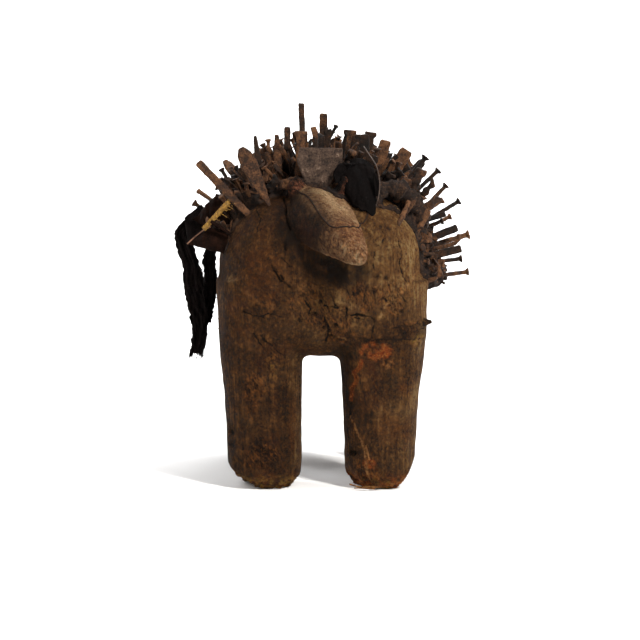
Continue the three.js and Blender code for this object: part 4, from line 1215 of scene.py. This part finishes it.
def flat_size(grid):
    """The flat width and length in metres of a sheet modelled as a grid of points: its length is its middle
    line's, and its width is its area over that, each quad's being half the cross product of its diagonals."""
    a = grid[1:, 1:] - grid[:-1, :-1]
    b = grid[1:, :-1] - grid[:-1, 1:]
    area = 0.5 * np.linalg.norm(np.cross(a, b), axis=-1).sum() * MM * MM
    length = np.linalg.norm(np.diff(grid[:, grid.shape[1] // 2], axis=0), axis=1).sum() * MM
    return area / length, length


def band(route, widths, angles, rows, columns):
    """A flat band along a route, as in the part: its width lies level, at an angle to X that eases from
    the first value to the second over the first third. Gives its grid and its shares across and along."""
    line = smooth_line(route, rows)
    t = np.linspace(0, 1, rows)[:, None]
    s = np.linspace(-0.5, 0.5, columns)[None]
    width = np.interp(t, np.linspace(0, 1, len(widths)), widths)
    angle = np.radians(angles[0] + (angles[1] - angles[0]) * ease(t, 0, 0.33))
    level = np.stack([np.cos(angle), np.sin(angle), 0 * angle], -1)
    return line[:, None] + level * (s * width)[..., None], level, s + 0 * t, t + 0 * s


CLOTH_THICK = 0.7


def cloth_strip(node, route, widths, angles, seed, finish):
    """A strip of thin cloth hanging in soft pleats: waves across it that wander on the way down, ragged
    long edges and a torn foot. Its flat width is what the pleats take up."""
    grid, level, s, t = band(route, widths, angles, 150, 37)
    face = np.cross(level, UP)
    wander = 1.6 * lattice_noise(np.stack([t * 9, 0 * t, 0 * t], -1), 1, seed)
    fold = np.sin(s * 14 + wander * 1.4) + 0.5 * np.sin(s * 29 - wander * 2 + 1)
    gather = ease(t, 0, 0.2)
    crease = rough(grid, 9, 3, seed + 3, 0.6)
    grid = grid + face * ((1.1 + 0.5 * gather) * fold + 0.7 * crease)[..., None]
    rag = 1.3 * rough(grid, 2.4, 2, seed + 5) * ease(np.abs(s), 0.4, 0.5) * np.sign(s)
    grid = grid + level * (rag + 1.4 * lattice_noise(grid, 16, seed + 8))[..., None]
    grid[..., 2] += ease(t, 0.985, 1) * 4.0 * rough(grid * np.array([1, 0, 0]), 2.6, 2, seed + 6)
    piece = put(node + "_woven", *sheet_shape(grid, CLOTH_THICK), "black_cloth", finish)
    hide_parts(node)


# Where loose threads hang from the cloth, and how far they reach.
FRAYED = [
    (-149, -66, 240, 7), (-146, -66, 215, 8), (-127, -66, 216, 7), (-148, -66, 262, 6), (-141, -66, 180, 7),
    (-143, -66, 168, 10), (-124, -66, 168, 9), (-146, -66, 150, 8), (-131, -66, 152, 10), (-142, -66, 137, 9),
    (-137, -66, 136, 12), (-133, -66, 137, 10), (-135, -66, 137, 8), (-122, -54, 200, 8), (-136, -54, 226, 8),
    (-131, -54, 235, 9), (-120, -52, 246, 9), (-152, -66, 277, 7), (-128, -66, 143, 9), (-139, -66, 137, 8),
]
THREAD_LOOP = [(-118, -66, 178), (-113, -68, 176), (-111, -69, 170), (-114, -69, 166), (-120, -67, 168)]
CLOTH_STRAND = [(-133, -60, 262), (-127, -60, 255), (-121, -60, 254), (-117, -58, 250)]
THREAD_RADIUS, CURL_RADIUS, LOOP_RADIUS, STRAND_RADIUS = 0.22, 0.25, 0.35, 0.9
CURLS_AT, CURLS_SPREAD = np.array([-141, -67, 152]), (6, 1, 9)


def loose_threads(dice, finish):
    """Short frayed threads along the cloth's edges and foot, thin and bent, three to a place, and the
    loops among them."""
    shapes = []
    for x, y, z, reach in FRAYED:
        for _ in range(3):
            away = dice.normal(0, 0.5, 3) + np.array([0.0, -0.2, -0.9])
            start = np.array([x, y, z]) + dice.normal(0, 1.6, 3)
            middle = start + away * reach * 0.5 + dice.normal(0, 1.5, 3)
            end = middle + (away + dice.normal(0, 0.7, 3)) * reach * 0.5
            shapes.append(tube(smooth_line([start, middle, end], 9), THREAD_RADIUS, 5))
    for _ in range(9):
        middle, size = CURLS_AT + dice.normal(0, 1, 3) * CURLS_SPREAD, dice.uniform(2.5, 5.5)
        turn = np.linspace(0, 5.4, 9) + dice.uniform(0, 6)
        ring = middle + size * np.stack([np.cos(turn), 0.3 * np.sin(2 * turn), 1.2 * np.sin(turn)], -1)
        shapes.append(tube(smooth_line(ring, 24), CURL_RADIUS, 5))
    shapes.append(tube(smooth_line(THREAD_LOOP, 24), LOOP_RADIUS, 6))
    shapes.append(tube(smooth_line(CLOTH_STRAND, 20), STRAND_RADIUS, 6))
    joined("loose_threads", shapes, "black_cloth", finish)


def hide(name, node, corners, bulge, finish, seed, slot, height=2.2, thick=1.8):
    """A dried hide between four corners, bulging at its middle, with wrinkles and a nibbled, curled edge.
    Gives the piece and its flat width and length in metres."""
    a, b, c, d = (np.array(corner, float) for corner in corners)
    s, t = np.meshgrid(np.linspace(0, 1, 48), np.linspace(0, 1, 40))
    s, t = s[..., None], t[..., None]
    edge = np.minimum(np.minimum(s, 1 - s), np.minimum(t, 1 - t))[..., 0]
    grid = (a * (1 - s) + b * s) * (1 - t) + (d * (1 - s) + c * s) * t
    grid = grid + np.array(bulge) * 16 * s * (1 - s) * t * (1 - t)
    n = np.cross(b - a, d - a)
    n /= np.linalg.norm(n)
    folds = rough(grid * np.array([1, 1, 0.55]), 12, 3, seed, 0.55) + 0.5 * ease(0.08 - edge, 0, 0.08)
    grid = grid + n * (height * folds)[..., None]
    inward = (grid.mean((0, 1)) - grid) / 25
    grid = grid + inward * ((1 - ease(edge, 0, 0.07)) * 1.5 * rough(grid, 4, 3, seed + 2))[..., None]
    piece = put(name, *sheet_shape(grid, thick), slot, finish)
    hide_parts(node)
    return piece, flat_size(grid)


# Rolls of crust along the packing's front edge, over the nape from the left of the crown to the hood and
# down the right shoulder: name, route, radius, and whether it lies on the wood or on the crust behind.
CRUST_ROLLS = [
    ("nape_crust", [(-40, -131, 317), (-27, -136, 321), (-14, -141, 323), (-1, -143, 322), (9, -145, 317),
                    (18, -146, 312), (29, -143, 310)], 4.2, True),
    ("shoulder_crust", [(50, -148, 303), (61, -146, 309), (71, -144, 307), (80, -140, 309), (90, -136, 302),
                        (97, -130, 290), (102, -122, 278)], 4.4, True),
    ("shoulder_heap", [(54, -136, 312), (64, -136, 320), (74, -133, 322), (84, -129, 319), (93, -123, 311),
                       (102, -115, 300), (108, -108, 286)], 8.5, False),
]


def crust_roll(name, route, radius, on_the_wood, finish):
    """A lumpy roll of crust along a route. Where it lies on the wood its middle is sunk by 0.3 of its
    radius."""
    line = smooth_line(route, 130)
    line = on_wood(line, -0.3 * radius) if on_the_wood else line
    radii = radius * (1 + 0.33 * rough(line, 7, 2, 91))
    piece = joined(name, [tube(line, radii, 26)], "packing", finish)
    mesh = piece.data
    p = points_of(mesh) / MM
    out = 1.5 * rough(p, 5, 4, 93, 0.65)
    set_points(mesh, (p + normals_of(mesh) * out[:, None]) * MM)


# The hood's middle line from the packing over to its foot in front, and its width along it; then the same
# for the lobe that curls down beside it and the narrow lappet under the lobe.
HOOD = [(37, -100, 328), (37, -107, 349), (37, -127, 350), (38.5, -147, 325), (43, -151, 298)]
HOOD_WIDTHS = (20, 27, 34, 33, 25)
LOBE, LOBE_WIDTHS = [(34, -140, 347), (24, -146, 347), (17, -149, 338), (16, -150, 328)], (16, 15, 12, 5)
LAPPET, LAPPET_WIDTHS = [(55, -153, 338), (57, -156, 326), (58, -155, 314)], (5, 6, 4)
FORWARD, UP = np.array([0.0, -1.0, 0.0]), np.array([0.0, 0.0, 1.0])
HOOD_THICK, LAPPET_THICK = 2.0, 1.6


def black_hood(finish):
    """The black hide over the packing beside the crown: a cupped band with its edges turned in, and a lobe
    that curls down beside the sheet of iron."""
    grid, level, s, t = band(HOOD, HOOD_WIDTHS, (0, 0), 90, 44)
    arch = np.cos(np.clip(s * 2, -1, 1) * math.pi / 2) ** 0.7
    front = ease(t, 0.25, 0.6)
    grid = grid + FORWARD * (7 * arch * (0.5 + 0.5 * front))[..., None]
    grid = grid - UP * (10 * np.abs(2 * s) ** 3 * (1 - front))[..., None]
    wrinkle = rough(grid * np.array([1, 1, 0.4]), 9, 3, 51, 0.55)
    grid = grid + FORWARD * (1.8 * wrinkle)[..., None]
    foot = 7 * (2 * s) + 3 * rough(grid * np.array([1.0, 0, 0]), 6, 3, 52)
    grid[..., 2] -= ease(t, 0.8, 1) * foot
    grid = grid + level * (0.9 * rough(grid, 5, 2, 53) * ease(np.abs(s), 0.4, 0.5))[..., None]
    piece = put("black_hood", *sheet_shape(grid, HOOD_THICK), "black_hide", finish)
    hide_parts("black_hide_flap")
    lobe = band(LOBE, LOBE_WIDTHS, (60, 30), 40, 14)[0]
    lobe = lobe + FORWARD * (1.6 * rough(lobe, 6, 2, 55))[..., None]
    lappet = band(LAPPET, LAPPET_WIDTHS, (20, 10), 24, 8)[0]
    shapes = [sheet_shape(lobe, HOOD_THICK), sheet_shape(lappet, LAPPET_THICK)]
    joined("black_lobe", shapes, "black_hide", finish)


PLAIT = [(-127, -114, 277), (-115, -121, 290), (-106, -125, 300), (-98, -124, 308)]
PLAIT_OUT = np.array([-0.35, -0.9, 0.25])  # the way its flat side faces
STRAND_TURNS, STRAW_RADIUS, FRAYED_RADIUS = 5.5, 0.5, 0.3


def straw(finish):
    """A flat plait of three strands: each swings from side to side and dips under its neighbours; frayed
    straws stand off its edge and its ends."""
    line = smooth_line(PLAIT, 120)
    along = np.gradient(line, axis=0)
    along /= np.linalg.norm(along, axis=1)[:, None]
    across = np.cross(along, PLAIT_OUT)
    across /= np.linalg.norm(across, axis=1)[:, None]
    shapes = []
    for strand in range(3):
        phase = np.linspace(0, STRAND_TURNS * 2 * math.pi, 120) + strand * 2 * math.pi / 3
        lift = PLAIT_OUT * (1.2 + 1.0 * np.sin(2 * phase))[:, None]
        core = line + across * (1.9 * np.sin(phase))[:, None] + lift
        for shift in (-0.65, 0.65):
            shapes.append(tube(core + across * shift, STRAW_RADIUS, 6))
    dice = np.random.default_rng(8)
    for _ in range(22):
        start = line[dice.integers(50, 120)] + dice.normal(0, 1.2, 3)
        way = np.array([0.5, -0.3, -0.5]) + dice.normal(0, 0.5, 3)
        reach = dice.uniform(3, 8)
        bend = start + way * reach * 0.5 + dice.normal(0, 1.2, 3)
        tip = bend + (way + dice.normal(0, 0.5, 3)) * reach / 2
        shapes.append(tube(smooth_line([start, bend, tip], 8), FRAYED_RADIUS, 5))
    piece = joined("straw_plait", shapes, "straw", finish)
    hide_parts("straw_strip")


def on_wood(line, lift):
    """A line of points laid on the carved surface, with its relief, and lifted off it."""
    p = settle(wood_field, np.asarray(line, float), rounds=8)
    n = slope(wood_field, p)
    n /= np.linalg.norm(n, axis=-1)[:, None]
    return p + n * (wood_relief(p, n)[0] + lift)[:, None]


# The string round the muzzle, in its front run and its side run, and the wire beside the hood.
MUZZLE = [
    (-28, -150, 320), (-19, -158, 315), (-14, -166, 312), (-9, -175, 305), (-3, -186, 296), (5, -197, 287),
    (9, -202, 284), (16, -205, 283), (27, -200, 283), (37, -192, 282),
]
MUZZLE_SIDE = [(37, -191, 282), (41, -176, 286), (46, -160, 291), (48, -155, 297)]
WIRE = [(44, -126, 366), (49, -140, 358), (53, -152, 352), (57, -159, 344), (60, -160, 330), (59, -158, 314),
        (55, -148, 300), (53, -138, 296)]
# The strap across the plait, and the lip of the flap below it.
STRAP = [(-119, -121, 286), (-109, -124, 280), (-98, -125, 272)]
LIP = [(-146, -99, 261), (-137, -103, 269), (-128, -108, 276), (-120, -112, 280)]
STRING_THICK, SIDE_THICK, WIRE_THICK, STRAP_THICK, LIP_THICK = 1.7, 1.6, 1.2, 3.8, 1.6
STRING_LIFT = 0.35  # how far a string's middle lies off the wood


def strings(string_finish, wire_finish):
    """The string round the muzzle, held by the wood at both ends, and the thin wire beside the hood."""
    muzzle = tube(on_wood(smooth_line(MUZZLE, 110), STRING_LIFT), STRING_THICK / 2, 8)
    side = tube(on_wood(smooth_line(MUZZLE_SIDE, 50), STRING_LIFT), SIDE_THICK / 2, 8)
    joined("muzzle_string", [muzzle, side], "black_cloth", string_finish)
    wire = tube(smooth_line(WIRE, 70), WIRE_THICK / 2, 8)
    joined("thin_wire", [wire], "rusted_iron", wire_finish)


def hide_details(finish, edge_finish):
    """A strap across the plait, and the pale curled lip of the flap below it."""
    strap = tube(smooth_line(STRAP, 30), STRAP_THICK / 2, 8)
    lip = tube(smooth_line(LIP, 40) + FORWARD, LIP_THICK / 2, 8)
    joined("hide_strap", [strap], "brown_hide", finish)
    joined("flap_lip", [lip], "brown_hide", edge_finish)


def soft_finish(name, dark, light, scale, rough_low, gloss, weave=None):
    """Hide, cloth or straw: a dark to light tone in clouds, a fine grain, and for cloth a woven bump."""
    make = Finish(name, specular=gloss)
    clouds = make.noise(scale, 6, 0.65)
    grain = make.noise(scale * 7, 4, 0.7)
    colour = make.ramp(make.blend(clouds, grain, 0.4), (0.36, dark), (0.66, light))
    make.bump(clouds, 0.0018)
    if weave:
        for turn in ((0, 0, 0), (0, 1.57, 0)):
            inputs = {"Vector": make.stretched(1, 1, 1, turn), "Scale": weave}
            inputs.update(Distortion=1.5, Detail=2.0)
            make.bump(make.node("ShaderNodeTexWave", inputs).outputs["Fac"], 0.0002)
    make.bump(grain, 0.0004)
    return make.done(colour, make.between(clouds, 0.3, 0.7, rough_low, min(rough_low + 0.25, 1)))


# The cloth strips: node, middle line, width along it, angles to X at its head and lower down, and seed.
CLOTH_STRIPS = [
    ("cloth_strip_outer", [
        (-112, -66, 279), (-136, -66, 289), (-152, -66, 274), (-150, -66, 255), (-143, -66, 230),
        (-139, -66, 198), (-135, -66, 166), (-139, -66, 136),
    ], (18, 18, 18, 19, 22, 21, 17, 15), (90, 0), 61),
    ("cloth_strip_inner", [
        (-113, -50, 260), (-120.5, -51, 261), (-124.5, -52, 246), (-123, -54, 223), (-126, -55, 196),
        (-130, -55, 170),
    ], (13, 13, 14, 15, 14, 12), (70, 4), 71),
]
# The corners of the hides and of the gather of cloth, round from the upper left or the left.
FLAP = [(-146, -98, 261), (-122, -110, 279), (-97, -118, 270), (-103, -114, 251)]
WRAP = [(-142, -84, 286), (-118, -96, 312), (-86, -108, 300), (-103, -110, 272)]
GATHER = [(-150, -80, 288), (-131, -80, 303), (-119, -84, 268), (-146, -80, 258)]


def dress_soft_pieces():
    """Cloth strips, hides, straw, string and wire."""
    cloth = soft_finish("black_cloth", (8, 6, 6), (30, 23, 22), 130, 0.85, 0.06, weave=420)
    black = soft_finish("black_hide", (4, 3, 3), (15, 11, 10), 90, 0.8, 0.05)
    brown = soft_finish("brown_hide", (7, 4, 3), (38, 22, 15), 120, 0.75, 0.04)
    lip = soft_finish("hide_lip", (84, 56, 44), (150, 112, 90), 120, 0.7, 0.15)
    gold = soft_finish("straw", (48, 27, 6), (232, 178, 84), 300, 0.5, 0.4)
    cord = soft_finish("muzzle_string", (18, 11, 8), (52, 34, 24), 300, 0.8, 0.2)
    wire = soft_finish("thin_wire", (30, 22, 18), (92, 74, 62), 200, 0.5, 0.4)
    for strip in CLOTH_STRIPS:
        cloth_strip(*strip, cloth)
    loose_threads(np.random.default_rng(3), cloth)
    hide("hide_flap", "hide_flap_left", FLAP, (-2, -6, -3), brown, 81, "brown_hide")
    hide("hide_wrap", "hide_wrap_left", WRAP, (-4, -4, 4), brown, 91, "brown_hide", 3.2)
    gather, flat = hide("cloth_gather_woven", "cloth_gather_left", GATHER, (-3, 0, 0), cloth, 95,
                        "black_cloth", 2.6, 1.2)
    hide_details(brown, lip)
    black_hood(black)
    straw(gold)
    strings(cord, wire)


# The camera: how far it stands from the chest, its height angle, and the point it looks at.
CAMERA_DISTANCE, CAMERA_RISE, CAMERA_TARGET = 2200.0, math.radians(5), (-2.6, -170.0, 184.5)
FRAME_WIDTH = 672.0  # what the picture takes in across, at the chest
SENSOR = 36.0


def set_camera():
    """A long lens at the height angle of the photograph: the lens is the sensor times the distance over
    the width that the picture takes in."""
    data = bpy.data.cameras.new("camera")
    data.sensor_width = SENSOR
    data.lens = SENSOR * CAMERA_DISTANCE / FRAME_WIDTH
    data.clip_end = 50
    camera = bpy.data.objects.new("camera", data)
    away = np.array([0, -math.cos(CAMERA_RISE), math.sin(CAMERA_RISE)]) * CAMERA_DISTANCE
    camera.location = (np.array(CAMERA_TARGET) + away + SHIFT) * MM
    camera.rotation_euler = (math.pi / 2 - CAMERA_RISE, 0, 0)
    bpy.context.collection.objects.link(camera)
    bpy.context.scene.camera = camera


def set_light(name, place, target, energy, width, colour):
    """A soft square lamp at one point, in metres, facing another."""
    data = bpy.data.lights.new(name, "AREA")
    data.energy, data.size, data.color = energy, width, colour
    lamp = bpy.data.objects.new(name, data)
    lamp.location = place
    lamp.rotation_euler = (Vector(target) - Vector(place)).to_track_quat("-Z", "Y").to_euler()
    bpy.context.collection.objects.link(lamp)


# Soft lamps, in metres and watts: name, place, target, energy, width and colour.
MIDDLE, WHITE = (0, -0.1, 0.2), (1, 1, 1)
LAMPS = [
    ("key", (0.95, -1.45, 1.5), MIDDLE, 58, 0.25, (1, 0.97, 0.93)),
    ("fill", (-1.9, -1.6, 0.9), MIDDLE, 2.6, 1.4, (1, 0.92, 0.82)),
    ("top", (0.3, 0.9, 2.3), (0, 0.3, 0), 34, 1.2, WHITE),
    ("floor lamp", (-1.7, 1.4, 1.0), (-0.6, 0.2, 0), 26, 0.8, WHITE),
]
for side in (-1, 1):
    LAMPS.append(("wall lamp", (side * 2.2, 2.2, 2.2), (side * 0.6, 4.6, 0.8), 170, 1.2, WHITE))
    LAMPS.append(("front lamp", (side * 1.3, -1.0, 2.4), (side * 0.9, -0.9, 0), 14, 0.8, WHITE))
SKY_COLOUR, SKY_STRENGTH = (1, 0.93, 0.85, 1), 0.1
# The floor, in metres: half its width, the quarter round's radius and number of lines, how far behind the
# middle it starts, and how far below the soles the floor lies.
FLOOR_HALF, FLOOR_ROUND, FLOOR_STEPS, FLOOR_BACK, FLOOR_BELOW = 6.0, 2.0, 16, 3, 0.0002


def set_stage():
    """A pale floor that runs up behind into a wall in one quarter round, under soft lamps."""
    make = Finish("floor", roughness=0.9, specular=0.1)
    finish = make.done(make.ramp(make.noise(3, 2), (0.0, (250, 250, 250)), (1.0, (255, 255, 255))))
    turn = np.linspace(0, math.pi / 2, FLOOR_STEPS)
    back = [[-FLOOR_HALF], FLOOR_BACK + FLOOR_ROUND * np.sin(turn), [FLOOR_BACK + FLOOR_ROUND]]
    up = [[0], FLOOR_ROUND * (1 - np.cos(turn)), [FLOOR_HALF]]
    profile = list(zip(np.concatenate(back), np.concatenate(up) - FLOOR_BELOW))
    points = [(side * FLOOR_HALF, y, z) for y, z in profile for side in (-1, 1)]
    faces = [(2 * i, 2 * i + 1, 2 * i + 3, 2 * i + 2) for i in range(len(profile) - 1)]
    mesh = bpy.data.meshes.new("floor")
    mesh.from_pydata(points, [], faces)
    mesh.materials.append(finish)
    floor = bpy.data.objects.new("floor", mesh)
    bpy.context.collection.objects.link(floor)
    world = bpy.data.worlds.new("studio")
    world.use_nodes = True
    sky = world.node_tree.nodes["Background"]
    sky.inputs["Color"].default_value = SKY_COLOUR
    sky.inputs["Strength"].default_value = SKY_STRENGTH
    bpy.context.scene.world = world
    for lamp in LAMPS:
        set_light(*lamp)
    bpy.context.scene.view_settings.view_transform = "Standard"


# The clusters of small irons in the order in which chance lays them out: name, stations along the barrel,
# angles round it, share of the reach, whether they lean forward, and whether they are a tangle.
FRONT, CLOSE, BACK = np.arange(-112, -44, 11), np.arange(-116, -50, 7.5), np.arange(-36, 132, 15)
FRONT_CLUSTERS = [
    ("small_irons_front_left", FRONT, np.arange(-64, -18, 7.5), 1.0, True, False),
    ("small_irons_front_top", FRONT, np.arange(-16, 44, 7.5), 1.0, True, False),
    ("small_irons_front_right", FRONT, np.arange(48, 90, 8), 1.0, True, False),
    ("tangled_irons_left", CLOSE, np.arange(-64, -18, 5), 0.9, True, True),
    ("tangled_irons_top", CLOSE, np.arange(-16, 44, 5), 0.9, True, True),
    ("tangled_irons_right", CLOSE, np.arange(46, 90, 6), 0.9, True, True),
]
BACK_CLUSTERS = [
    ("small_irons_back_left", BACK, np.arange(-64, -6, 9), 0.95, False, False),
    ("small_irons_back_right", BACK, np.arange(2, 90, 9), 0.95, False, False),
]


def drive_irons():
    """Every iron of the part with its rust, and the clusters of small ones between them."""
    rust = iron_finish("rusted_iron", (13, 8, 5), (48, 31, 20), (103, 69, 44), 0.2)
    bare = iron_finish("bare_iron", (34, 25, 20), (83, 66, 55), (160, 137, 118), 0.4)
    finishes = {"rusted_iron": rust, "bare_iron": bare}
    for number, node in enumerate(sorted(frame["nodes"])):
        if frame_slot(node) in finishes:
            corroded(node, finishes[frame_slot(node)], number)
    dice = np.random.default_rng(4)
    for cluster in FRONT_CLUSTERS:
        small_irons(dice, rust, *cluster)
    front_irons(dice, rust)
    for cluster in BACK_CLUSTERS:
        small_irons(dice, rust, *cluster)


set_camera()
set_stage()
wood = wood_finish()
carve_wood(wood)
splinter_wood(wood)
crust = packing_finish()
make_packing(crust)
for roll in CRUST_ROLLS:
    crust_roll(*roll, crust)
dress_soft_pieces()
drive_irons()
